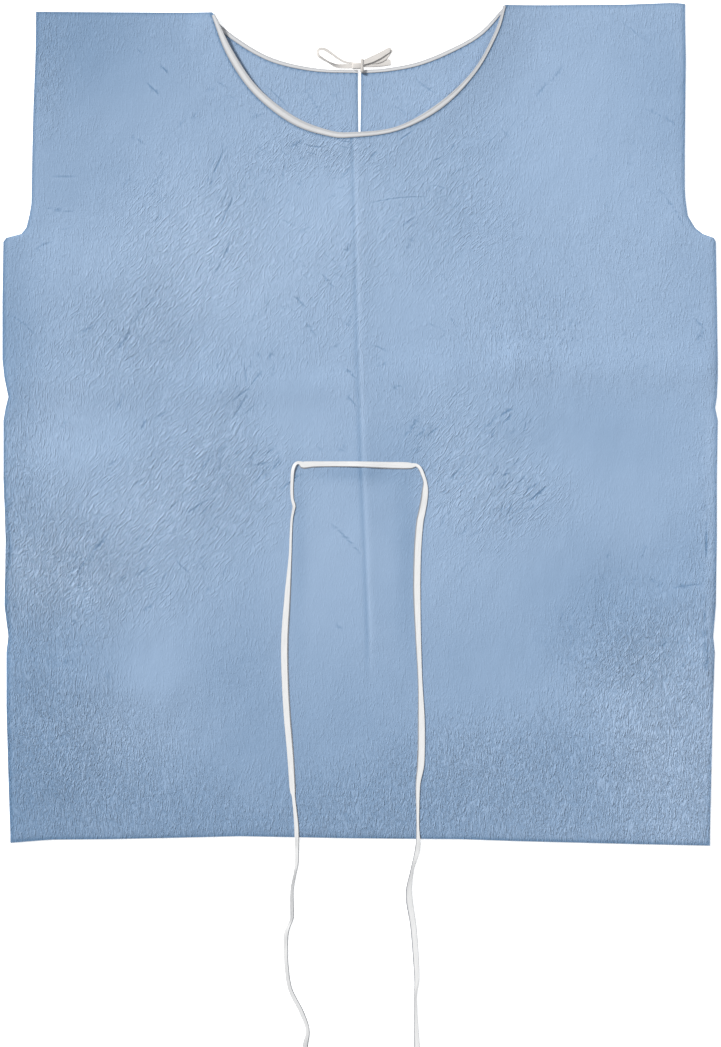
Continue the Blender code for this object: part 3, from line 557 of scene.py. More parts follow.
def spans_of(curve: np.ndarray, spacing: float, measured: int = 2) -> int:
    """How many stretches of about the spacing a curve takes."""
    return max(1, math.ceil(length_along(curve, measured)[-1] / spacing))


def at_height(levels, height):
    """The left and right edge at a height."""
    table = np.array(sorted(levels), float)
    return tuple(np.interp(height, table[:, 0], table[:, column]) for column in (1, 2))


def along_table(table, value):
    """The second number of a table, read between its rows."""
    rows = np.array(sorted(table), float)
    return np.interp(value, rows[:, 0], rows[:, 1])


def inward(points: np.ndarray) -> np.ndarray:
    """The level direction from each point of a neckline, drawn left to right, into the cloth."""
    tangent = unit(np.gradient(points[:, :2], axis=0))
    return np.stack([tangent[:, 1], -tangent[:, 0]], axis=1)


def soft_step(value: np.ndarray, low: float, high: float) -> np.ndarray:
    """Zero below low, one above high and a smooth rise between them."""
    share = np.clip((value - low) / (high - low), 0.0, 1.0)
    return share * share * (3 - 2 * share)


def ridge(points: np.ndarray, fold: Fold) -> np.ndarray:
    """A soft ridge's height at each point."""
    start = np.array([fold.x0, fold.y0])
    run = np.array([fold.x1, fold.y1]) - start
    share = np.clip(((points - start) @ run) / (run @ run), 0.0, 1.0)
    distance = np.linalg.norm(points - start - share[..., None] * run, axis=-1)
    return fold.height * np.exp(-((distance / fold.width) ** 2))


def crease_distance(points: np.ndarray, crease: Crease) -> tuple[np.ndarray, np.ndarray]:
    """How points lie to a crease.

    Args:
        points: level places in millimetres.
        crease: the crease.

    Returns:
        The share of the way along it, and the distance from its bowed line in millimetres.
    """
    start = np.array([crease.x0, crease.y0])
    run = np.array([crease.x1, crease.y1]) - start
    length = math.hypot(*run)
    across = np.array([-run[1], run[0]]) / length
    offset = points - start
    share = (offset @ run) / length ** 2
    inside = np.clip(share, 0.0, 1.0)
    beside = offset @ across - 4 * crease.bow * inside * (1 - inside)
    over = np.maximum(np.abs(share - 0.5) - 0.5, 0.0) * length
    return share, np.hypot(beside, over)


def around(points: np.ndarray, crease: Crease, margin: float) -> np.ndarray:
    """Numbers of the points in the box round a crease, widened by a margin; all in millimetres."""
    x, y = points.T
    margin = margin + abs(crease.bow)
    low_x, high_x = sorted((crease.x0, crease.x1))
    low_y, high_y = sorted((crease.y0, crease.y1))
    return np.flatnonzero((x > low_x - margin) & (x < high_x + margin)
                          & (y > low_y - margin) & (y < high_y + margin))


def crease_relief(points: np.ndarray, creases: tuple[Crease, ...]) -> tuple[np.ndarray, np.ndarray]:
    """The creases as pressed into the cloth: a sharp valley between two lips.

    Args:
        points: level places in metres.
        creases: the creases.

    Returns:
        The height at each point in metres, and its painted shading: 1 for painted shade in a deep valley,
        below 0 for painted light on a lip.
    """
    height = np.zeros(len(points))
    painted_shading = np.zeros(len(points))
    flat = points / MM
    for crease in creases:
        near = around(flat, crease, CREASE_REACH)
        share, distance = crease_distance(flat[near], crease)
        taper = np.sin(np.pi * np.clip(share, 0.0, 1.0)).clip(0.0) ** CREASE_TAPER
        half = CREASE_HALF + CREASE_WIDENING * crease.depth
        valley = taper * np.exp(-((distance / half) ** 2))
        lips = taper * np.exp(-((distance / (LIP_SPREAD * half)) ** 2))
        height[near] += crease.depth * MM * (LIP_RISE * lips - VALLEY_FALL * valley)
        # Painted shade in the valley and painted light on its lips
        painted_shading[near] += crease.depth / FULL_SHADE_DEPTH * (VALLEY_PAINTED_SHADE * valley - LIP_PAINTED_LIGHT * lips)
    return height, painted_shading


def sprayed(sprays: tuple[Spray, ...]) -> tuple[Crease, ...]:
    """Scatters each cluster's small creases, in the same way each time."""
    draw = np.random.default_rng(SPRAY_SEED)
    made = []
    for spray in sprays:
        for _ in range(spray.count):
            middle = draw.normal(0.0, SPRAY_SPREAD, 2) * (spray.across, spray.along) + (spray.x, spray.y)
            lean = math.radians(spray.lean + draw.normal(0.0, LEAN_SPREAD))
            half = spray.length * draw.uniform(*LENGTH_SHARES) / 2
            reach = half * np.array([math.cos(lean), math.sin(lean)])
            bow = draw.normal(0.0, BOW_SPREAD)
            depth = spray.depth * draw.uniform(*DEPTH_SHARES)
            made.append(Crease(*(middle - reach), *(middle + reach), bow, depth))
    return tuple(made)


def waves(points: np.ndarray, shortest: float, longest: float, lean: float, spread: float,
          seed: int) -> np.ndarray:
    """A field of many crossing waves.

    Args:
        points: level places in metres.
        shortest: the shortest wave's length.
        longest: the longest wave's length.
        lean: the direction that most of them run in, in degrees from +X.
        spread: how far their directions differ from it, in degrees.
        seed: the number that sets them.

    Returns:
        A value at each point, mostly between -1 and 1.
    """
    draw = np.random.default_rng(seed)
    total = np.zeros(len(points))
    for _ in range(WAVE_COUNT):
        angle = math.radians(lean + draw.normal(0.0, spread))
        length = draw.uniform(shortest, longest)
        phase = points @ (math.cos(angle), math.sin(angle)) * math.tau / length
        total += np.cos(phase + draw.uniform(0.0, math.tau))
    return total / math.sqrt(WAVE_COUNT)


def patch_share(points: np.ndarray, patches: tuple[Patch, ...]) -> np.ndarray:
    """How strongly the patches cover each point, from 0 to 1."""
    bare = np.ones(len(points))
    for patch in patches:
        reach = ((points[:, 0] - patch.x) / patch.across) ** 2 + ((points[:, 1] - patch.y) / patch.along) ** 2
        bare *= 1 - patch.share * np.exp(-reach)
    return 1 - bare


def deselect_all() -> None:
    """Leaves nothing selected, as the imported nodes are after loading."""
    for obj in bpy.context.selected_objects:
        obj.select_set(False)


def select_only(obj: bpy.types.Object) -> None:
    """Makes one object the selected and active one."""
    deselect_all()
    obj.select_set(True)
    bpy.context.view_layer.objects.active = obj


def apply_modifiers(obj: bpy.types.Object) -> None:
    """Applies every modifier of an object, in order."""
    select_only(obj)
    for modifier in list(obj.modifiers):
        bpy.ops.object.modifier_apply(modifier=modifier.name)


def smooth_shading(obj: bpy.types.Object, degrees: float) -> None:
    """Smooth shading, with edges sharper than the angle left sharp."""
    select_only(obj)
    bpy.ops.object.shade_smooth_by_angle(angle=math.radians(degrees))


def new_object(name: str, data: bpy.types.ID) -> bpy.types.Object:
    """An object with this mesh, lamp or camera, in the scene's own collection."""
    obj = bpy.data.objects.new(name, data)
    bpy.context.scene.collection.objects.link(obj)
    return obj


def grid_faces(at: np.ndarray) -> np.ndarray:
    """The faces between the rows and columns of a grid of point numbers."""
    return np.stack([at[:-1, :-1], at[:-1, 1:], at[1:, 1:], at[1:, :-1]], axis=-1).reshape(-1, 4)


def write_values(mesh: bpy.types.Mesh, label: str, values: np.ndarray | list[float]) -> None:
    """Gives each point of a mesh a number of its own, under a label."""
    mesh.attributes.new(label, "FLOAT", "POINT").data.foreach_set("value", values)


def put_in_place(obj: bpy.types.Object, slot: str, *nodes: str) -> bpy.types.Object:
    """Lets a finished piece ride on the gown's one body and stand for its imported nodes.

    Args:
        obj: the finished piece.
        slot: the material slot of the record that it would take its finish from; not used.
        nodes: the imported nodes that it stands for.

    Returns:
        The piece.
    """
    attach(obj, "root")
    if nodes:
        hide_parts(*nodes)
    LOG.info("%s: %d faces", obj.name, len(obj.data.polygons))
    return obj


class Wiring:
    """Adds nodes to a shader tree and links them."""

    def __init__(self, tree: bpy.types.NodeTree) -> None:
        """Works on this tree."""
        self.tree = tree

    def add(self, kind: str, inputs: Optional[dict] = None, **settings) -> bpy.types.Node:
        """Adds a node.

        Args:
            kind: the node's type.
            inputs: for each input, by name or number, a value or the output that feeds it.
            settings: the node's own properties.

        Returns:
            The node.
        """
        node = self.tree.nodes.new(kind)
        for name, value in settings.items():
            setattr(node, name, value)
        for key, value in (inputs or {}).items():
            if isinstance(value, bpy.types.NodeSocket):
                self.tree.links.new(value, node.inputs[key])
            else:
                node.inputs[key].default_value = value
        return node

    def maths(self, operation: str, first, second=0.0, third=0.0,
              clamp: bool = False) -> bpy.types.NodeSocket:
        """The output of a Math node on two or three values."""
        inputs = {0: first, 1: second, 2: third}
        return self.add("ShaderNodeMath", inputs, operation=operation, use_clamp=clamp).outputs[0]

    def finish(self, tone: bpy.types.NodeSocket, height: bpy.types.NodeSocket,
               look: "ClothFinish | TapeFinish", sheen_roughness: float) -> None:
        """Joins a tone and a relief to the material's own shader.

        Args:
            tone: the share of the deep tone.
            height: the relief in millimetres.
            look: the finish that gives both tones, the roughness and the sheen.
            sheen_roughness: how soft the sheen is.
        """
        shader = self.tree.nodes["Principled BSDF"]
        bump = self.add("ShaderNodeBump", {"Height": height, "Distance": MM})
        colour = self.add("ShaderNodeMix", {0: tone, 6: look.light, 7: look.deep}, data_type="RGBA")
        self.tree.links.new(colour.outputs[2], shader.inputs["Base Color"])
        self.tree.links.new(bump.outputs[0], shader.inputs["Normal"])
        shader.inputs["Roughness"].default_value = look.roughness
        shader.inputs["Sheen Weight"].default_value = look.sheen
        shader.inputs["Sheen Roughness"].default_value = sheen_roughness

    def noise(self, vector, scale: float, detail: float = 2.0, roughness: float = 0.5,
              distortion: float = 0.0, kind: str = "FBM") -> bpy.types.NodeSocket:
        """The value of a noise texture over a vector."""
        inputs = {"Vector": vector, "Scale": scale, "Detail": detail, "Roughness": roughness,
                  "Distortion": distortion}
        return self.add("ShaderNodeTexNoise", inputs, noise_type=kind).outputs[0]


def new_material(name: str) -> tuple[bpy.types.Material, Wiring]:
    """A new material, and what adds nodes to it."""
    made = bpy.data.materials.new(name)
    made.use_nodes = True
    return made, Wiring(made.node_tree)


def new_group(name: str, inputs: dict, outputs: dict) -> bpy.types.NodeTree:
    """An empty shader group with its sockets.

    Args:
        name: the group's name.
        inputs: each input's socket type and default value, by name.
        outputs: each output's socket type, by name.

    Returns:
        The group, with its input and output nodes.
    """
    tree = bpy.data.node_groups.new(name, "ShaderNodeTree")
    for label, (kind, value) in inputs.items():
        socket = tree.interface.new_socket(label, in_out="INPUT", socket_type=kind)
        if value is not None:
            socket.default_value = value
    for label, kind in outputs.items():
        tree.interface.new_socket(label, in_out="OUTPUT", socket_type=kind)
    tree.nodes.new("NodeGroupInput")
    tree.nodes.new("NodeGroupOutput")
    return tree


def crepe_group() -> bpy.types.NodeTree:
    """The crepe's crinkle: short ripples with sharp valleys, longer than they are wide, leaning by an angle.

    Returns:
        A group that turns a place into a height from 0 to 1 and a mask of the valleys, on average 0, by which
        shade is painted into them.
    """
    tree = new_group(
        "crepe_crinkle",
        {"Vector": ("NodeSocketVector", None), "Lean": ("NodeSocketFloat", 0.0),
         "Width": ("NodeSocketFloat", 0.0020), "Length": ("NodeSocketFloat", 0.0086)},
        {"Height": "NodeSocketFloat", "Valley": "NodeSocketFloat"},
    )
    wiring = Wiring(tree)
    given = tree.nodes["Group Input"].outputs
    sway = wiring.add("ShaderNodeTexNoise", {"Vector": given["Vector"], "Scale": 14.0, "Detail": 1.0})
    centred = wiring.add("ShaderNodeVectorMath", {0: sway.outputs[1], 1: (0.5, 0.5, 0.5)},
                         operation="SUBTRACT")
    swing = wiring.add("ShaderNodeVectorMath", {0: centred.outputs[0], "Scale": 0.016}, operation="SCALE")
    moved = wiring.add("ShaderNodeVectorMath", {0: given["Vector"], 1: swing.outputs[0]}, operation="ADD")
    turned = wiring.add("ShaderNodeVectorRotate", {"Vector": moved.outputs[0], "Angle": given["Lean"]},
                        rotation_type="Z_AXIS")
    across = wiring.maths("DIVIDE", 1.0, given["Width"])
    along = wiring.maths("DIVIDE", 1.0, given["Length"])
    share = wiring.add("ShaderNodeCombineXYZ", {0: across, 1: along, 2: across})
    scaled = wiring.add("ShaderNodeVectorMath", {0: turned.outputs[0], 1: share.outputs[0]},
                        operation="MULTIPLY")
    ripple = wiring.noise(scaled.outputs[0], 0.8, 2.2, 0.6, 0.2)
    beside = wiring.maths("ABSOLUTE", wiring.maths("SUBTRACT", ripple, 0.5))
    sharp = wiring.maths("MULTIPLY", beside, 6.0, clamp=True)
    height = wiring.maths("MULTIPLY_ADD", sharp, 0.45, wiring.maths("MULTIPLY", ripple, 0.9))
    valley = wiring.maths("SUBTRACT", wiring.maths("POWER", wiring.maths("SUBTRACT", 1.0, sharp), 3.0), 0.4)
    wiring.tree.links.new(height, tree.nodes["Group Output"].inputs["Height"])
    wiring.tree.links.new(valley, tree.nodes["Group Output"].inputs["Valley"])
    return tree


def fibre_group() -> bpy.types.NodeTree:
    """The fine, cloudy grain of bonded fibres.

    Returns:
        A group that turns a place into a value from 0 to 1.
    """
    tree = new_group(
        "bonded_fibres",
        {"Vector": ("NodeSocketVector", None), "Size": ("NodeSocketFloat", 0.0008)},
        {"Value": "NodeSocketFloat"},
    )
    wiring = Wiring(tree)
    given = tree.nodes["Group Input"].outputs
    scaled = wiring.add("ShaderNodeVectorMath",
                        {0: given["Vector"], "Scale": wiring.maths("DIVIDE", 1.0, given["Size"])},
                        operation="SCALE")
    grain = wiring.noise(scaled.outputs[0], 1.0, 3.0, 0.6, 0.3)
    wiring.tree.links.new(grain, tree.nodes["Group Output"].inputs["Value"])
    return tree


@dataclass(frozen=True)
class ClothFinish:
    """Crepe nonwoven cloth: two tones of one dye, its crinkle, its creases and its fine fibres; the deep tone
    also serves as painted shade and the light one as painted light.
    """

    name: str
    light: tuple[float, float, float, float] = (0.420, 0.545, 0.730, 1.0)
    deep: tuple[float, float, float, float] = (0.120, 0.215, 0.355, 1.0)
    roughness: float = 0.88
    sheen: float = 0.08
    crinkle: float = 2.5
    least: float = 0.25
    slanting: float = 0.95
    fibre: float = 0.08
    tone: float = 0.43
    cloud_tone: float = 0.16
    grain_tone: float = 0.12
    valley_painted_shade: float = 0.38
    shade_tone: float = 0.33
    painted_shading_tone: float = 0.30

    def material(self, crepe: bpy.types.NodeTree, fibres: bpy.types.NodeTree) -> bpy.types.Material:
        """Builds the cloth's material.

        Args:
            crepe: the crinkle's group.
            fibres: the fibres' group.

        Returns:
            The material, which reads the piece's own crinkle attributes and the painted shade and light of
            its patches, creases, edges and the neck tape's shadow.
        """
        made, wiring = new_material(self.name)
        place = wiring.add("ShaderNodeTexCoord").outputs["Object"]
        masks = {
            name: wiring.add("ShaderNodeAttribute", attribute_name=name).outputs["Fac"]
            for name in ("upright", "slant", "calm", "shade", "painted_shading")
        }
        upright = wiring.add("ShaderNodeGroup", {"Vector": place}, node_tree=crepe).outputs
        slant = wiring.add("ShaderNodeGroup", {"Vector": place, "Lean": math.radians(40.0), "Length": 0.0110},
                           node_tree=crepe).outputs
        grain = wiring.add("ShaderNodeGroup", {"Vector": place}, node_tree=fibres).outputs[0]
        kept = wiring.maths("SUBTRACT", 1.0, masks["calm"])
        straight = wiring.maths("MULTIPLY", wiring.maths("MAXIMUM", masks["upright"], self.least), kept)
        leaning = wiring.maths("MULTIPLY", wiring.maths("MULTIPLY", masks["slant"], self.slanting), kept)
        relief = wiring.maths("MULTIPLY_ADD", slant["Height"], leaning,
                              wiring.maths("MULTIPLY", upright["Height"], straight))
        height = wiring.maths("MULTIPLY_ADD", relief, self.crinkle,
                              wiring.maths("MULTIPLY", grain, self.fibre))
        clouds = wiring.noise(place, 9.0, 3.0, 0.55)
        valley_shade = wiring.maths("MULTIPLY_ADD", slant["Valley"], leaning,
                               wiring.maths("MULTIPLY", upright["Valley"], straight))
        tone = wiring.maths("MULTIPLY_ADD", clouds, self.cloud_tone, self.tone - self.cloud_tone / 2)
        tone = wiring.maths("MULTIPLY_ADD", grain, self.grain_tone, tone)
        # Painted shade in the crinkle's valleys, with slight painted light between them
        tone = wiring.maths("MULTIPLY_ADD", valley_shade, self.valley_painted_shade, tone)
        # Painted shade from the shade patches, and painted light where their strength is below zero
        tone = wiring.maths("MULTIPLY_ADD", masks["shade"], self.shade_tone, tone)
        # Painted shade in creases, along edges and as the neck tape's shadow, and painted light on crease
        # lips
        tone = wiring.maths("MULTIPLY_ADD", masks["painted_shading"], self.painted_shading_tone, tone, clamp=True)
        wiring.finish(tone, height, self, 0.5)
        return made


@dataclass(frozen=True)
class TapeFinish:
    """Soft white nonwoven tape: its colour, its grain, its small wrinkles and painted shade along its borders
    and folds.
    """

    name: str
    light: tuple[float, float, float, float] = (0.73, 0.73, 0.735, 1.0)
    deep: tuple[float, float, float, float] = (0.26, 0.27, 0.295, 1.0)
    roughness: float = 0.80
    sheen: float = 0.10
    wrinkle: float = 0.30
    fibre: float = 0.05
    tone: float = 0.14
    border_painted_shade: float = 0.80

    def material(self, fibres: bpy.types.NodeTree) -> bpy.types.Material:
        """Builds the tape's material.

        Args:
            fibres: the fibres' group.

        Returns:
            The material, which reads the tape's UV map, across and along it in metres, and its border, its
            share of painted shade.
        """
        made, wiring = new_material(self.name)
        strip = wiring.add("ShaderNodeUVMap", uv_map="strip").outputs[0]
        place = wiring.add("ShaderNodeTexCoord").outputs["Object"]
        stretched = wiring.add("ShaderNodeMapping", {"Vector": strip, "Scale": (260.0, 60.0, 1.0)}).outputs[0]
        wrinkle = wiring.noise(stretched, 1.0, 2.0, 0.6, 0.4)
        grain = wiring.add("ShaderNodeGroup", {"Vector": place, "Size": 0.0006}, node_tree=fibres).outputs[0]
        height = wiring.maths("MULTIPLY_ADD", wrinkle, self.wrinkle,
                              wiring.maths("MULTIPLY", grain, self.fibre))
        border = wiring.add("ShaderNodeAttribute", attribute_name="border").outputs["Fac"]
        tone = wiring.maths("MULTIPLY", wiring.maths("ADD", wrinkle, grain), self.tone)
        # Painted shade at the tape's borders, folds and the knot's groove, and the darkening given along a
        # neck tape
        tone = wiring.maths("MULTIPLY_ADD", border, self.border_painted_shade, tone, clamp=True)
        wiring.finish(tone, height, self, 0.4)
        return made


@dataclass
class Panel:
    """A cut piece of cloth that lies flat: its grid of points, its creases and its thin shell."""

    name: str
    node: str
    finish: bpy.types.Material
    creases: tuple[Crease, ...]
    folds: tuple[Fold, ...]
    shades: tuple[Patch, ...]
    spacing: float = 0.0084
    cloth: float = CLOTH
    ripple: float = 0.00010
    seed: int = 1
    creased_under: bool = True
    yoke_rows: int = 24
    crest_rows: int = 4
    flap_rows: int = 3
    slope: float = 0.014
    flap_margin: float = 0.002
    level: np.ndarray = field(init=False, repr=False)
    neck_columns: slice = field(init=False, repr=False)

    def neck(self) -> np.ndarray:
        """The cloth's own neck edge, from left to right: x, y, the tape's width and the lift."""
        raise NotImplementedError

    def bounds(self, heights: np.ndarray) -> tuple[np.ndarray, np.ndarray, np.ndarray]:
        """The panel's left edge, its middle line and its right edge at each height."""
        raise NotImplementedError

    def share_at(self, x: float, height: float) -> float:
        """The share of the way across the panel of a place, where the middle line is at one half."""
        return float(np.interp(x, np.array(self.bounds(height)), (0.0, 0.5, 1.0)))

    def place_at(self, share: float, heights: np.ndarray) -> np.ndarray:
        """Where a share of the way across the panel lies at each height."""
        left, centre, right = self.bounds(heights)
        if share < 0.5:
            return left + (centre - left) * share * 2
        return centre + (right - centre) * (share * 2 - 1)

    def shoulders(self) -> tuple[Optional[float], Optional[float]]:
        """Where the shoulder seams end, left and right of the neck."""
        raise NotImplementedError

    def middle(self, points: np.ndarray) -> np.ndarray:
        """Height of the cloth's middle at each point, without its sharp creases."""
        raise NotImplementedError

    def row_levels(self) -> list[float]:
        """Heights of the rows below the yoke, each level of the side edges among them."""
        heights = sorted(level.height for level in SIDE_EDGES if level.height < YOKE_FOOT)
        rows = [heights[0]]
        for height in heights[1:]:
            parts = math.ceil((height - rows[-1]) / self.spacing)
            rows.extend(np.linspace(rows[-1], height, parts + 1)[1:])
        return rows

    def shoulder_points(self, corner: float, tip: float, towards: np.ndarray) -> np.ndarray:
        """Top points of a shoulder seam, from its tip to just before the neck corner."""
        spans = math.ceil(abs(tip - corner) / self.spacing)
        points = []
        for share in (np.arange(spans, 0, -1) / spans) ** SHOULDER_CLOSING:
            x = corner + share * (tip - corner)
            blend = 1 - (1 - share) ** 2
            lean = unit((1 - blend) * towards + blend * np.array([0.0, -1.0]))
            points.append((x, along_table(SHOULDERS, x), *lean))
        return np.array(points)

    def level_grid(self) -> tuple[np.ndarray, slice]:
        """Lays out the panel's points.

        Returns:
            Their level places, a row for each height and a column for each top point, and the neck's columns.
        """
        neck = self.neck()
        lean = inward(neck)
        left, right = self.shoulders()
        for end, shoulder in ((0, left), (-1, right)):
            if shoulder is None:
                along = np.linalg.norm(neck[:, :2] - neck[end, :2], axis=1)
                turned = 1 - soft_step(along, 0.0, 3 * self.slope)
                lean = unit(lean * (1 - turned)[:, None] + np.array([0.0, -1.0]) * turned[:, None])
        parts = [np.column_stack([neck[:, :2], lean])]
        widths = [neck[:, 2]]
        before = after = 0
        if left is not None:
            shoulder = self.shoulder_points(neck[0, 0], left, lean[0])
            parts.insert(0, shoulder)
            widths.insert(0, np.full(len(shoulder), neck[0, 2]))
            before = len(shoulder)
        if right is not None:
            shoulder = self.shoulder_points(neck[-1, 0], right, lean[-1])[::-1]
            parts.append(shoulder)
            widths.append(np.full(len(shoulder), neck[-1, 2]))
            after = len(shoulder)
        top = np.vstack(parts)
        turns = np.concatenate(widths) + self.flap_margin
        levels = self.row_levels()
        columns = []
        for (x, y, lean_x, lean_y), turn in zip(top, turns):
            away = np.array([lean_x, lean_y])
            edge = np.array([x, y])
            crest = edge + away * turn
            foot = edge + away * (turn + self.slope)
            share = self.share_at(foot[0], foot[1])
            heights = np.array([*levels, *np.linspace(levels[-1], foot[1], self.yoke_rows + 1)[1:-1]])
            column = list(zip(self.place_at(share, heights), heights))
            column.insert(0, (column[0][0], along_table(HEM, column[0][0])))
            column.extend(foot + (crest - foot) * step / self.crest_rows for step in range(self.crest_rows))
            column.extend(crest + (edge - crest) * step / self.flap_rows
                          for step in range(self.flap_rows + 1))
            columns.append(column)
        return np.array(columns).transpose(1, 0, 2), slice(before, len(top) - after)

    def neck_distance(self, points: np.ndarray) -> tuple[np.ndarray, np.ndarray]:
        """How far points near the neckline are from it, and which of its points is nearest to each."""
        neck = self.neck()
        distance = np.full(len(points), 1.0)
        nearest = np.zeros(len(points), int)
        near = np.flatnonzero(points[:, 1] > neck[:, 1].min() - NECK_RISE - self.spacing)
        spread = np.linalg.norm(points[near][:, None, :] - neck[None, :, :2], axis=-1)
        distance[near] = spread.min(axis=1)
        nearest[near] = spread.argmin(axis=1)
        return distance, nearest

    def edge_distance(self, points: np.ndarray) -> np.ndarray:
        """How far points are from the cloth's outer edges."""
        left, _, right = self.bounds(points[:, 1])
        return np.minimum.reduce([
            points[:, 0] - left, right - points[:, 0],
            points[:, 1] - along_table(HEM, points[:, 0]),
            along_table(SHOULDERS, points[:, 0]) - points[:, 1],
        ])

    def raised(self, points: np.ndarray) -> tuple[np.ndarray, np.ndarray, np.ndarray]:
        """What the ripples and sharp creases do to the cloth, fading out towards its edges and its neck tape.

        Args:
            points: level places.

        Returns:
            The upper face's height over the flat cloth, the grooves' depth, and the cloth's painted shading:
            shade in creases, along its edges and as the neck tape's shadow, light on crease lips.
        """
        edge = self.edge_distance(points)
        distance, nearest = self.neck_distance(points)
        clear = np.minimum(edge, distance - TAPE_WIDTH)
        relief, painted_shading = self.relief(points)
        relief *= soft_step(clear, 0.0, CREASE_FADE)
        height = soft_step(clear, 0.0, EDGE_FADE) * self.ripples(points) + relief.clip(-DEEPEST)
        # Painted shade as a dark line along the cloth's edges, and the neck tape's painted shadow beside it
        beside = (distance - self.neck()[nearest, 2]) / TAPE_LINE - TAPE_OFFSET
        painted_shading += EDGE_PAINTED_SHADE * np.exp(-edge.clip(0.0) / EDGE_LINE) + TAPE_PAINTED_SHADOW * np.exp(-(beside ** 2) / 2)
        return height, (-relief).clip(0.0, DEEPEST / 2), painted_shading

    def relief(self, points: np.ndarray) -> tuple[np.ndarray, np.ndarray]:
        """The height of the sharp creases at each point, and their painted shade and light."""
        return crease_relief(points, self.creases)

    def creased(self, flat: np.ndarray, reach: float, least: float) -> np.ndarray:
        """Which points lie within a reach of a crease that has at least this depth; all in millimetres."""
        found = np.zeros(len(flat), bool)
        for crease in self.creases:
            if crease.depth >= least:
                near = around(flat, crease, reach)
                found[near[crease_distance(flat[near], crease)[1] < reach]] = True
        return found

    def ripples(self, points: np.ndarray) -> np.ndarray:
        """Height of the crepe's larger ripples, none of them below the flat cloth."""
        upright = patch_share(points, UPRIGHT_PATCHES)
        slant = patch_share(points, SLANT_PATCHES)
        cockle = waves(points, *COCKLE, self.seed)
        straight = waves(points, *STRAIGHT, self.seed + 1)
        leaning = waves(points, *LEANING, self.seed + 2)
        total = cockle + (LEAST_STRAIGHT + upright) * straight + slant * leaning
        return self.ripple * (total + RIPPLE_FLOOR).clip(0.0)

    def refine(self, mesh: bmesh.types.BMesh, faces: float, reach: Optional[float] = None,
               least: float = 0.0) -> None:
        """Halves the mesh's edges where finer form is wanted.

        Args:
            mesh: the mesh, with its points flat.
            faces: 1 for the upper face alone, 0 for both faces.
            reach: how near to a crease, in millimetres, or everywhere where none is given.
            least: how deep a crease has to be to count, in millimetres.
        """
        upper = mesh.verts.layers.float["upper"]
        wanted = np.array([v[upper] > faces - 0.5 for v in mesh.verts])
        if reach is not None:
            flat = np.array([v.co[:2] for v in mesh.verts]) / MM
            rim = mesh.verts.layers.float["rim"]
            wanted &= self.creased(flat, reach, least) & np.array([v[rim] < 0.5 for v in mesh.verts])
        edges = [e for e in mesh.edges if all(wanted[v.index] for v in e.verts)]
        bmesh.ops.subdivide_edges(mesh, edges=edges, cuts=1, use_grid_fill=True)
        mesh.verts.index_update()

    def shell(self) -> bpy.types.Object:
        """Builds the panel as a closed thin shell, finer near its creases.

        Returns:
            The object, with its crinkle attributes, its painted shade and painted shading attributes, and its
            material.
        """
        self.level, self.neck_columns = self.level_grid()
        rows, columns = self.level.shape[:2]
        flat = self.level.reshape(-1, 2)
        count = len(flat)
        at = np.arange(count).reshape(rows, columns)
        quads = grid_faces(at)
        loop = np.concatenate([at[0, :-1], at[:-1, -1], at[-1, :0:-1], at[:0:-1, 0]])
        after = np.roll(loop, -1)
        rim = np.stack([loop, loop + count, after + count, after], axis=-1)
        faces = np.vstack([quads, quads[:, ::-1] + count, rim])
        mesh = bpy.data.meshes.new(self.name)
        places = np.vstack([flat, flat])
        mesh.from_pydata(np.column_stack([places, np.zeros(len(places))]).tolist(), [], faces.tolist())
        upper = np.concatenate([np.ones(count), np.zeros(count)])
        border = np.zeros(2 * count)
        border[loop] = border[loop + count] = 1.0
        write_values(mesh, "upper", upper)
        write_values(mesh, "rim", border)
        work = bmesh.new()
        work.from_mesh(mesh)
        self.refine(work, faces=1.0)
        for reach, least in FINER_REACHES:
            self.refine(work, 0.0 if self.creased_under else 1.0, reach, least)
        work.to_mesh(mesh)
        work.free()

        total = len(mesh.vertices)
        co = np.zeros(total * 3)
        mesh.vertices.foreach_get("co", co)
        co = co.reshape(-1, 3)
        points = co[:, :2]
        upper = np.zeros(total)
        mesh.attributes["upper"].data.foreach_get("value", upper)
        upper = upper > 0.5
        height, grooves, painted_shading = self.raised(points)
        above = self.cloth / 2 + height
        below = grooves * self.creased_under - self.cloth / 2
        co[:, 2] = self.middle(points) + np.where(upper, above, below)
        mesh.vertices.foreach_set("co", co.ravel())
        for label, patches in (("upright", UPRIGHT_PATCHES), ("slant", SLANT_PATCHES),
                               ("calm", CALM_PATCHES), ("shade", self.shades)):
            write_values(mesh, label, patch_share(points, patches))
        write_values(mesh, "painted_shading", painted_shading)
        for label in ("upper", "rim"):
            mesh.attributes.remove(mesh.attributes[label])
        mesh.update()
        mesh.materials.append(self.finish)
        obj = new_object(self.name, mesh)
        smooth_shading(obj, 55.0)
        return obj

    def neck_rows(self) -> tuple[np.ndarray, np.ndarray, np.ndarray]:
        """The crest, the edge and the tape's width along the neck, for its tape."""
        crest = self.level[-1 - self.flap_rows, self.neck_columns]
        edge = self.level[-1, self.neck_columns]
        raised = [np.column_stack([row, self.middle(row)]) for row in (crest, edge)]
        return raised[0], raised[1], self.neck()[:, 2]


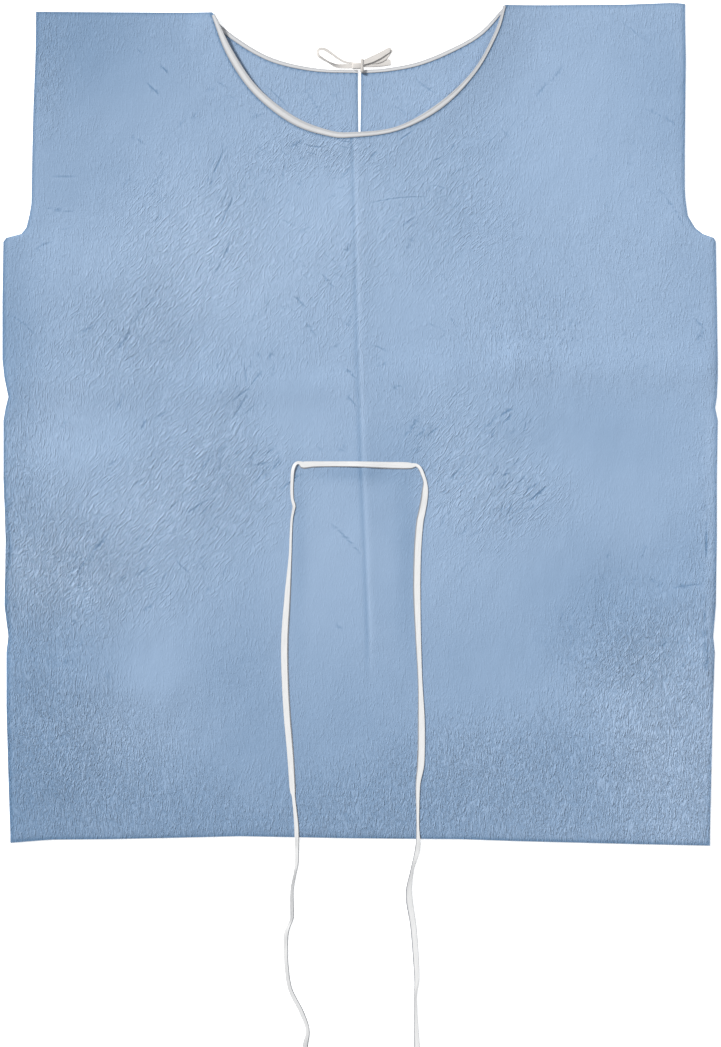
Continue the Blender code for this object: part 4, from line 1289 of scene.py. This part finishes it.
@dataclass
class FrontPanel(Panel):
    """The one front panel, with its lifted neckline and its pressed centre line."""

    def neck(self) -> np.ndarray:
        """The cloth's own neck edge, read so that the pressed centre line has its own point."""
        curve = smooth(FRONT_NECK)
        centre = CENTRE_TRIM * CURVE_STEPS
        left = curve[:centre + 1]
        right = curve[centre:]
        rows = np.vstack([
            evenly(left, spans_of(left, self.spacing)),
            evenly(right, spans_of(right, self.spacing))[1:],
        ])
        rows[:, :2] += inward(rows) * (self.cloth / 2 + CLEAR + TAPE)
        return rows

    def bounds(self, heights: np.ndarray) -> tuple[np.ndarray, np.ndarray, np.ndarray]:
        """The side edges, with the pressed centre line between them."""
        left, right = at_height(SIDE_EDGES, heights)
        return left + along_table(DRAWN_IN, heights), along_table(CENTRE_LINE, heights), right

    def shoulders(self) -> tuple[float, float]:
        """Both shoulder tips."""
        return SHOULDERS[0][0], SHOULDERS[-1][0]

    def middle(self, points: np.ndarray) -> np.ndarray:
        """Flat on the back panels, with its folds, its lifted neckline and its pressed down edges."""
        distance, nearest = self.neck_distance(points)
        rise = self.neck()[nearest, 3] * np.clip(1 - distance / NECK_RISE, 0.0, 1.0) ** 2
        swell = sum(ridge(points, fold) for fold in self.folds)
        left, _, right = self.bounds(points[:, 1])
        beside = np.minimum(points[:, 0] - left, right - points[:, 0])
        above = points[:, 1] - along_table(HEM, points[:, 0])
        pressed = soft_step(np.minimum(beside, above), 0.0, SEAM_BAND)
        flat = SEAM_LEVEL + (FRONT_LEVEL - SEAM_LEVEL) * pressed
        return flat + np.maximum(rise, swell * pressed)

    def centre_offset(self, points: np.ndarray) -> tuple[np.ndarray, np.ndarray]:
        """How far right of the pressed centre line points lie, and how strongly it is pressed there."""
        offset = (points[:, 0] - along_table(CENTRE_LINE, points[:, 1])) / MM
        return offset, soft_step(points[:, 1], CENTRE_FOOT - CENTRE_FADE, CENTRE_FOOT)

    def relief(self, points: np.ndarray) -> tuple[np.ndarray, np.ndarray]:
        """The sharp creases, with the centre line pressed in between a low left and a high right lip; painted
        shade in its valley and on its left lip, painted light on its right lip.
        """
        height, painted_shading = super().relief(points)
        offset, strength = self.centre_offset(points)
        valley = strength * np.exp(-((offset / CREASE_HALF) ** 2))
        before, lip = (strength * np.exp(-(((offset - out) / wide) ** 2))
                       for out, wide in (LEFT_LIP, RIGHT_LIP))
        height += CENTRE_DEPTH * MM * (CENTRE_LIP_RISE * lip - valley)
        # Painted shade in the centre line's valley and on its left lip, painted light on its right lip
        dark, light, faint = CENTRE_PAINTED_SHADING
        painted_shading += dark * valley - light * lip + faint * before
        return height, painted_shading

    def creased(self, flat: np.ndarray, reach: float, least: float) -> np.ndarray:
        """Which points lie within a reach of a deep enough crease or the centre line; all in millimetres."""
        offset, strength = self.centre_offset(flat * MM)
        return super().creased(flat, reach, least) | ((np.abs(offset) < reach) & (strength > 0.0))

    def top_at(self, points: np.ndarray) -> np.ndarray:
        """Height of the cloth's top face at level places, or of the surface beside the gown."""
        top = self.middle(points) + self.cloth / 2 + self.raised(points)[0].clip(0.0)
        return np.where(points[:, 1] > along_table(HEM, points[:, 0]), top, 0.0)


@dataclass
class BackPanel(Panel):
    """Half of the back, flat on the surface, open along the centre back."""

    side: Side = Side.LEFT
    neckline: tuple[Trim, ...] = BACK_NECK_LEFT

    def neck(self) -> np.ndarray:
        """The cloth's own neck edge."""
        curve = smooth(self.neckline)
        rows = evenly(curve, spans_of(curve, self.spacing))
        rows[:, :2] += inward(rows) * (self.cloth / 2 + CLEAR + TAPE)
        return rows

    def bounds(self, heights: np.ndarray) -> tuple[np.ndarray, np.ndarray, np.ndarray]:
        """The side edge and the opening, with half of the way between them."""
        side = at_height(SIDE_EDGES, heights)
        slit = at_height(OPENING, heights)
        left, right = (side[0], slit[0]) if self.side is Side.LEFT else (slit[1], side[1])
        return left, (left + right) / 2, right

    def shoulders(self) -> tuple[Optional[float], Optional[float]]:
        """The one shoulder tip of this half."""
        if self.side is Side.LEFT:
            return SHOULDERS[0][0], None
        return None, SHOULDERS[-1][0]

    def middle(self, points: np.ndarray) -> np.ndarray:
        """Flat on the surface with low swells, raised along the neck by the tape that is folded under it."""
        distance, _ = self.neck_distance(points)
        raised = (TAPE + CLEAR) * (1 - soft_step(distance, *BACK_EASE))
        swell = sum(ridge(points, fold) for fold in self.folds)
        return BACK_LEVEL - BACK_DROP + raised + swell


def tape_mesh(name: str, points: np.ndarray, faces: list, across: np.ndarray, along: np.ndarray,
              border: np.ndarray, finish: bpy.types.Material) -> bpy.types.Mesh:
    """A tape's mesh, with a UV map across and along it in metres.

    Args:
        name: the mesh's name.
        points: rows of points, the tape's length first and then across it.
        faces: the faces' point numbers.
        across: each column's place across the tape.
        along: each row's place along it.
        border: how strongly each point is shaded as a border, from 0 to 1.
        finish: its material.

    Returns:
        The mesh.
    """
    mesh = bpy.data.meshes.new(name)
    mesh.from_pydata(points.reshape(-1, 3).tolist(), [], faces)
    uv = np.stack(np.meshgrid(across, along), axis=-1).reshape(-1, 2)
    layer = mesh.uv_layers.new(name="strip")
    corners = np.zeros(len(mesh.loops), int)
    mesh.loops.foreach_get("vertex_index", corners)
    layer.data.foreach_set("uv", uv[corners].ravel())
    write_values(mesh, "border", border.ravel())
    mesh.materials.append(finish)
    return mesh


def folded_strip(name: str, sections: np.ndarray, border: np.ndarray, finish: bpy.types.Material,
                 wall: float) -> bpy.types.Object:
    """A closed strip through rows of points, given its wall.

    Args:
        name: the object's name.
        sections: points, the strip's length first and then across it.
        border: how strongly each point is shaded as a border, from 0 to 1.
        finish: its material.
        wall: its thickness.

    Returns:
        The closed strip.
    """
    rows, columns = sections.shape[:2]
    faces = grid_faces(np.arange(rows * columns).reshape(rows, columns)).tolist()
    along = length_along(sections.mean(axis=1), 3)
    across = length_along(sections.mean(axis=0), 3)
    obj = new_object(name, tape_mesh(name, sections, faces, across, along, border, finish))
    thick = obj.modifiers.new("Wall", "SOLIDIFY")
    thick.thickness = wall
    thick.offset = 0.0
    thick.use_even_offset = True
    apply_modifiers(obj)
    smooth_shading(obj, 50.0)
    return obj


@dataclass
class NeckTape:
    """Tape folded over a panel's neck edge, darkened along its length by a table: painted shade where that
    varies along it, an even grey tone where it does not.
    """

    name: str
    node: str
    finish: bpy.types.Material
    shade: tuple[tuple[float, float], ...] = ((0.0, 0.20), (1.0, 0.20))
    turn_steps: int = 6
    wall: float = TAPE

    def build(self, panel: Panel, flat_width: float) -> bpy.types.Object:
        """Args:
            panel: the panel that it binds.
            flat_width: the tape's width before it is folded; not used.

        Returns:
            The tape.
        """
        crest, edge, widths = panel.neck_rows()
        along = unit(np.gradient(edge, axis=0))
        across = unit(crest - edge)
        outward = unit(np.cross(along, -across))
        outward *= np.sign(outward[:, 2:3])
        reach = panel.cloth / 2 + CLEAR + self.wall / 2
        sections = []
        border = []
        for share, shade in NECK_FLAP:
            sections.append(edge + across * (widths - reach)[:, None] * share + outward * reach)
            border.append(shade)
        for angle in np.linspace(90.0, -90.0, self.turn_steps + 1):
            turn = math.radians(angle)
            sections.append(edge - across * math.cos(turn) * reach + outward * math.sin(turn) * reach)
            # Painted shade round the fold, deepest at its outer edge
            border.append(0.5 + 0.5 * math.cos(turn))
        for share, shade in reversed(NECK_FLAP):
            sections.append(edge + across * (widths - reach)[:, None] * share - outward * reach)
            border.append(shade)
        points = np.array(sections).transpose(1, 0, 2)
        run = length_along(edge, 3)
        # The table's darkening along the tape: painted shade where it varies, an even grey tone where it does
        # not
        shade = along_table(self.shade, run / run[-1])
        obj = folded_strip(self.name, points, np.maximum(border, shade[:, None]), self.finish, self.wall)
        return put_in_place(obj, "neck_tape", self.node)


def tape_section(width: float, wall: float, lip: float, gap: float) -> tuple[np.ndarray, np.ndarray]:
    """The outline across a tape that is folded lengthwise, its upper layer a little narrower.

    Args:
        width: the folded tape's width.
        wall: one layer's thickness.
        lip: how far the lower layer stands out past the upper one.
        gap: the air between the layers.

    Returns:
        A closed outline, across the tape and up from its middle, and its painted shade as a border, from 0 to
        1, deepest at its edges, its lip and its fold.
    """
    half = width / 2
    top = wall + gap / 2
    inner = gap / 2
    fold = []
    for turn in (60, 30, 0, -30, -60):
        angle = math.radians(turn)
        fold.append((-half + top * (1 - math.cos(angle)), top * math.sin(angle), math.cos(angle)))
    outline = [
        (half, -inner, 1.0), (half - lip, -inner * 0.98, 1.0), (-half + top, -inner, 0.0),
        (-half + top * 0.8, 0.0, 0.0), (-half + top, inner, 0.0), (half - lip, inner, 1.0),
        (half - lip, top, 0.9), (half - lip * 1.6, top, 0.0), (0.0, top * 1.04, 0.0), (-half + lip, top, 0.0),
        (-half + top, top, 0.3), *fold, (-half + top, -top, 0.3), (-half + lip, -top, 0.0),
        (0.0, -top, 0.0), (half - lip / 2, -top, 0.0), (half, -top, 0.8),
    ]
    table = np.array(outline)
    return table[:, :2], table[:, 2]


def swept_tape(name: str, middles: np.ndarray, halves: np.ndarray, along: np.ndarray,
               section: tuple[np.ndarray, np.ndarray], width: float,
               finish: bpy.types.Material) -> bpy.types.Object:
    """Sweeps a tape's outline along its middle line.

    Args:
        name: the object's name.
        middles: the middle line's points.
        halves: from each point, half of the tape's width.
        along: the line's direction at each point.
        section: the tape's own outline, at its full width, and its shading as a border.
        width: that full width.
        finish: its material.

    Returns:
        The closed tape, with its UV map.
    """
    outline, border = section
    across = unit(halves)
    up = unit(np.cross(across, along))
    up *= np.where(up[:, 2:3] < 0, -1.0, 1.0)
    scale = 2 * np.linalg.norm(halves, axis=1) / width
    points = (
        middles[:, None, :]
        + across[:, None, :] * (outline[None, :, :1] * scale[:, None, None])
        + up[:, None, :] * outline[None, :, 1:2]
    )
    rows, columns = points.shape[:2]
    at = np.arange(rows * columns).reshape(rows, columns)
    faces = grid_faces(np.hstack([at, at[:, :1]])).tolist() + [at[0, ::-1].tolist(), at[-1].tolist()]
    run = length_along(middles, 3)
    round_it = length_along(np.vstack([outline, outline[:1]]), 2)[:-1]
    mesh = tape_mesh(name, points, faces, round_it, run, np.tile(border, rows), finish)
    work = bmesh.new()
    work.from_mesh(mesh)
    bmesh.ops.recalc_face_normals(work, faces=work.faces)
    work.to_mesh(mesh)
    work.free()
    obj = new_object(name, mesh)
    smooth_shading(obj, 45.0)
    return obj


@dataclass
class Belt:
    """The waist belt: one tape, tacked across the centre front, with both ends free."""

    finish: bpy.types.Material
    width: float = TAPE_WIDTH
    wall: float = TAPE
    lip: float = 0.0012
    gap: float = 0.00006
    rest: float = CLEAR

    def route(self, support: Callable[[np.ndarray], np.ndarray]) -> tuple[np.ndarray, np.ndarray, np.ndarray]:
        """Lays the tape on what is under it.

        Args:
            support: gives the height of what lies under level places.

        Returns:
            The middle line, half of the width at each of its points, and its direction.
        """
        curve = smooth([*reversed(BELT_LEFT), *BELT_RUN, *BELT_RIGHT])
        line = evenly(curve, spans_of(curve, RUN_SPACING))
        along = unit(np.gradient(line[:, :2], axis=0))
        side = np.stack([along[:, 1], -along[:, 0]], axis=1)
        seen = np.clip(line[:, 2] / self.width, NARROWEST, 1.0)
        rise = line[:, 3] * TILT_RISE
        reach = side * (seen * self.width / 2)[:, None]
        under = np.max([support(line[:, :2] + share * reach) for share in FEELERS], axis=0)
        padded = np.pad(under, HOLD, mode="edge")
        highest = np.lib.stride_tricks.sliding_window_view(padded, 2 * HOLD + 1).max(axis=1)
        evened = np.full(2 * EASE + 1, 1 / (2 * EASE + 1))
        resting = np.convolve(np.pad(highest, EASE, mode="edge"), evened, mode="valid")
        height = resting + self.rest + np.abs(rise) + self.wall
        middles = np.column_stack([line[:, :2], height])
        halves = np.column_stack([reach, rise])
        return middles, halves, unit(np.gradient(middles, axis=0))

    def build(self, support: Callable[[np.ndarray], np.ndarray]) -> None:
        """Builds the run across the front and the two free stretches.

        Args:
            support: gives the height of what lies under level places.
        """
        middles, halves, along = self.route(support)
        section = tape_section(self.width, self.wall, self.lip, self.gap)
        first, last = (
            int(np.linalg.norm(middles[:, :2] - (stop.x, stop.y), axis=1).argmin())
            for stop in (BELT_RUN[0], BELT_RUN[-1])
        )
        for name, start, end in (("belt_left", 0, first), ("belt_run", first, last),
                                 ("belt_right", last, len(middles) - 1)):
            part = slice(start, end + 1)
            obj = swept_tape("waist_" + name, middles[part], halves[part], along[part], section,
                             self.width, self.finish)
            if name == "belt_run":
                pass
            else:
                path = middles[part]
                path = path if start else path[::-1]
            put_in_place(obj, "belt_tape", name)


@dataclass
class Bow:
    """The tied neck tape at the centre back: its knot, two loops and its tail."""

    finish: bpy.types.Material
    width: float = 0.0100
    wall: float = 0.0003
    lip: float = 0.0006
    gap: float = 0.00005

    def strand(self, name: str, node: str, strands: tuple[Strand, ...], spans: int) -> bpy.types.Object:
        """One tape of the bow, its width turned by the tilt about its own line.

        Args:
            name: the piece's name.
            node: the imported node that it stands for.
            strands: the points that it follows.
            spans: how many stretches it is cut into.

        Returns:
            The tape.
        """
        line = evenly(smooth(strands), spans, measured=3)
        along = unit(np.gradient(line[:, :3], axis=0))
        level = unit(np.column_stack([along[:, 1], -along[:, 0], np.zeros(len(along))]))
        raised = np.cross(level, along)
        tilt = np.radians(line[:, 4])[:, None]
        halves = (level * np.cos(tilt) + raised * np.sin(tilt)) * line[:, 3:4]
        section = tape_section(self.width, self.wall, self.lip, self.gap)
        obj = swept_tape(name, line[:, :3], halves, along, section, self.width, self.finish)
        return put_in_place(obj, "neck_tape", node)

    def knot(self) -> bpy.types.Object:
        """The knot: two soft lumps of wrapped tape with a groove between them, each modelled from a box."""
        lumps = []
        for low, high in KNOT_LUMPS:
            deselect_all()
            bpy.ops.mesh.primitive_cube_add(size=1.0, location=(low + high) / 2)
            lump = bpy.context.object
            lump.scale = high - low
            bpy.ops.object.transform_apply(location=True, rotation=False, scale=True)
            soft = lump.modifiers.new("Rounding", "BEVEL")
            soft.width = KNOT_ROUNDING
            soft.segments = 4
            apply_modifiers(lump)
            bpy.ops.object.shade_smooth()
            lumps.append(lump)
        for lump in lumps:
            lump.select_set(True)
        bpy.context.view_layer.objects.active = lumps[0]
        bpy.ops.object.join()
        obj = bpy.context.object
        obj.name = "neck_knot"
        # Painted shade darkens the groove where the two lumps meet
        border = [math.exp(-(((v.co.x - KNOT_GROOVE) / GROOVE_WIDTH) ** 2)) for v in obj.data.vertices]
        write_values(obj.data, "border", border)
        obj.data.materials.append(self.finish)
        return put_in_place(obj, "neck_tape", "bow_knot")

    def build(self) -> None:
        """Builds the whole bow."""
        self.knot()
        self.strand("neck_loop_left", "bow_loop_left", BOW_LEFT, 60)
        self.strand("neck_loop_right", "bow_loop_right", BOW_RIGHT, 50)
        self.strand("neck_tail", "bow_tail", BOW_TAIL, 14)


class LampKind(Enum):
    """A far lamp, whose light is even and from one side, or a near soft box."""

    FAR = "SUN"
    NEAR = "AREA"


@dataclass(frozen=True)
class Lamp:
    """A soft light: its kind, where it stands, how large and how strong it is, and its colour."""

    name: str
    kind: LampKind
    place: tuple[float, float, float]
    size: float
    power: float
    colour: tuple[float, float, float]


@dataclass(frozen=True)
class Studio:
    """A white table, soft lights and a camera straight above it."""

    target: tuple[float, float, float] = (0.0003, -0.1257, 0.0)
    seen_length: float = 1.3297
    lens: float = 100.0
    sensor: float = 36.0
    table: float = 40.0
    world: float = 0.34
    glow: float = 0.60
    lamps: tuple[Lamp, ...] = (
        Lamp("key", LampKind.FAR, (-2.0, 1.4, 1.75), 0.22, 4.4, (1.0, 0.99, 0.97)),
        Lamp("fill", LampKind.NEAR, (1.8, 0.9, 1.7), 1.0, 8.0, (0.96, 0.98, 1.0)),
    )

    def lights(self) -> None:
        """Hangs the lamps and lights the room."""
        for lamp in self.lamps:
            light = bpy.data.lights.new(lamp.name, lamp.kind.value)
            if lamp.kind is LampKind.FAR:
                light.angle = lamp.size
            else:
                light.size = lamp.size
            light.energy = lamp.power
            light.color = lamp.colour
            obj = new_object(lamp.name, light)
            obj.location = lamp.place
            aim = Vector(self.target) - Vector(lamp.place)
            obj.rotation_euler = aim.to_track_quat("-Z", "Y").to_euler()
        world = bpy.data.worlds.new("room")
        bpy.context.scene.world = world
        world.use_nodes = True
        wiring = Wiring(world.node_tree)
        seen = wiring.add("ShaderNodeLightPath").outputs["Is Camera Ray"]
        dim = wiring.add("ShaderNodeBackground", {"Color": (0.93, 0.96, 1.0, 1.0), "Strength": self.world})
        white = wiring.add("ShaderNodeBackground", {"Color": (1.0, 1.0, 1.0, 1.0), "Strength": 1.0})
        mixed = wiring.add("ShaderNodeMixShader", {0: seen, 1: dim.outputs[0], 2: white.outputs[0]})
        world.node_tree.links.new(mixed.outputs[0], world.node_tree.nodes["World Output"].inputs[0])

    def surface(self) -> None:
        """Lays the white table, which is see-through from below."""
        deselect_all()
        bpy.ops.mesh.primitive_plane_add(size=self.table, location=(0.0, 0.0, -0.0004))
        floor = bpy.context.object
        floor.name = "white_table"
        paint, wiring = new_material("white_table")
        shader = paint.node_tree.nodes["Principled BSDF"]
        shader.inputs["Base Color"].default_value = (0.92, 0.92, 0.92, 1.0)
        shader.inputs["Roughness"].default_value = 1.0
        shader.inputs["Specular IOR Level"].default_value = 0.0
        shader.inputs["Emission Color"].default_value = (1.0, 1.0, 1.0, 1.0)
        shader.inputs["Emission Strength"].default_value = self.glow
        below = wiring.add("ShaderNodeNewGeometry").outputs["Backfacing"]
        clear = wiring.add("ShaderNodeBsdfTransparent")
        mixed = wiring.add("ShaderNodeMixShader", {0: below, 1: shader.outputs[0], 2: clear.outputs[0]})
        paint.node_tree.links.new(mixed.outputs[0], paint.node_tree.nodes["Material Output"].inputs[0])
        floor.data.materials.append(paint)

    def camera(self) -> None:
        """Hangs the camera straight above, with the photograph's frame."""
        lens = bpy.data.cameras.new("above")
        lens.lens = self.lens
        lens.sensor_width = self.sensor
        distance = self.seen_length * self.lens / self.sensor
        lens.clip_start = 0.1
        lens.clip_end = 100.0
        obj = new_object("above", lens)
        obj.location = Vector(self.target) + Vector((0.0, 0.0, distance))
        bpy.context.scene.camera = obj

    def build(self) -> None:
        """Sets the whole studio up."""
        scene = bpy.context.scene
        scene.view_settings.view_transform = "Standard"
        scene.view_settings.look = "None"
        self.surface()
        self.lights()
        self.camera()


def main() -> None:
    """Builds the studio and every piece of the gown."""
    logging.basicConfig(level=logging.INFO, format="%(message)s")
    Studio().build()
    crepe = crepe_group()
    fibres = fibre_group()
    front_cloth = ClothFinish("front_crepe").material(crepe, fibres)
    back_cloth = ClothFinish("back_crepe").material(crepe, fibres)
    neck_white = TapeFinish("neck_tape_white").material(fibres)
    belt_white = TapeFinish("belt_tape_white", (0.80, 0.80, 0.80, 1.0)).material(fibres)
    bow_white = TapeFinish("bow_tape_cream", (0.68, 0.65, 0.62, 1.0), (0.24, 0.215, 0.205, 1.0),
                           border_painted_shade=0.32).material(fibres)

    front = FrontPanel("gown_front", "front_panel", front_cloth, FRONT_CREASES + sprayed(FRONT_SPRAYS),
                       FRONT_FOLDS, SHADE_PATCHES, creased_under=False)
    belt = Belt(belt_white)
    belt.build(front.top_at)

    back_creases = BACK_CREASES + sprayed(BACK_SPRAYS)
    back = (back_cloth, back_creases, BACK_FOLDS, BACK_SHADES)
    left = BackPanel("gown_back_left", "back_panel_left", *back, slope=0.020, ripple=0.00006, seed=11)
    right = BackPanel("gown_back_right", "back_panel_right", *back, slope=0.020, ripple=0.00006, seed=21,
                      side=Side.RIGHT, neckline=BACK_NECK_RIGHT)
    for panel, flat, area, under in (
        (left, (0.455, 1.067), 0.455, ()),
        (right, (0.455, 1.067), 0.455, ()),
        (front, (0.914, 1.067), 0.900, ("gown_back_left", "gown_back_right")),
    ):
        obj = panel.shell()
        put_in_place(obj, "cloth", panel.node)

    # The front tape's table is painted shade, deeper on its left half
    NeckTape("neck_binding_front", "neck_tape_front", neck_white,
             ((0.0, 0.18), (0.22, 0.06), (0.34, 0.14), (0.44, 0.02), (0.56, 0.12), (0.66, 0.02), (1.0, 0.0)),
             ).build(front, 0.0180)
    NeckTape("neck_binding_back_left", "neck_tape_back_left", neck_white).build(left, 0.0125)
    NeckTape("neck_binding_back_right", "neck_tape_back_right", neck_white).build(right, 0.0125)
    Bow(bow_white).build()


if __name__ == "__main__":
    main()
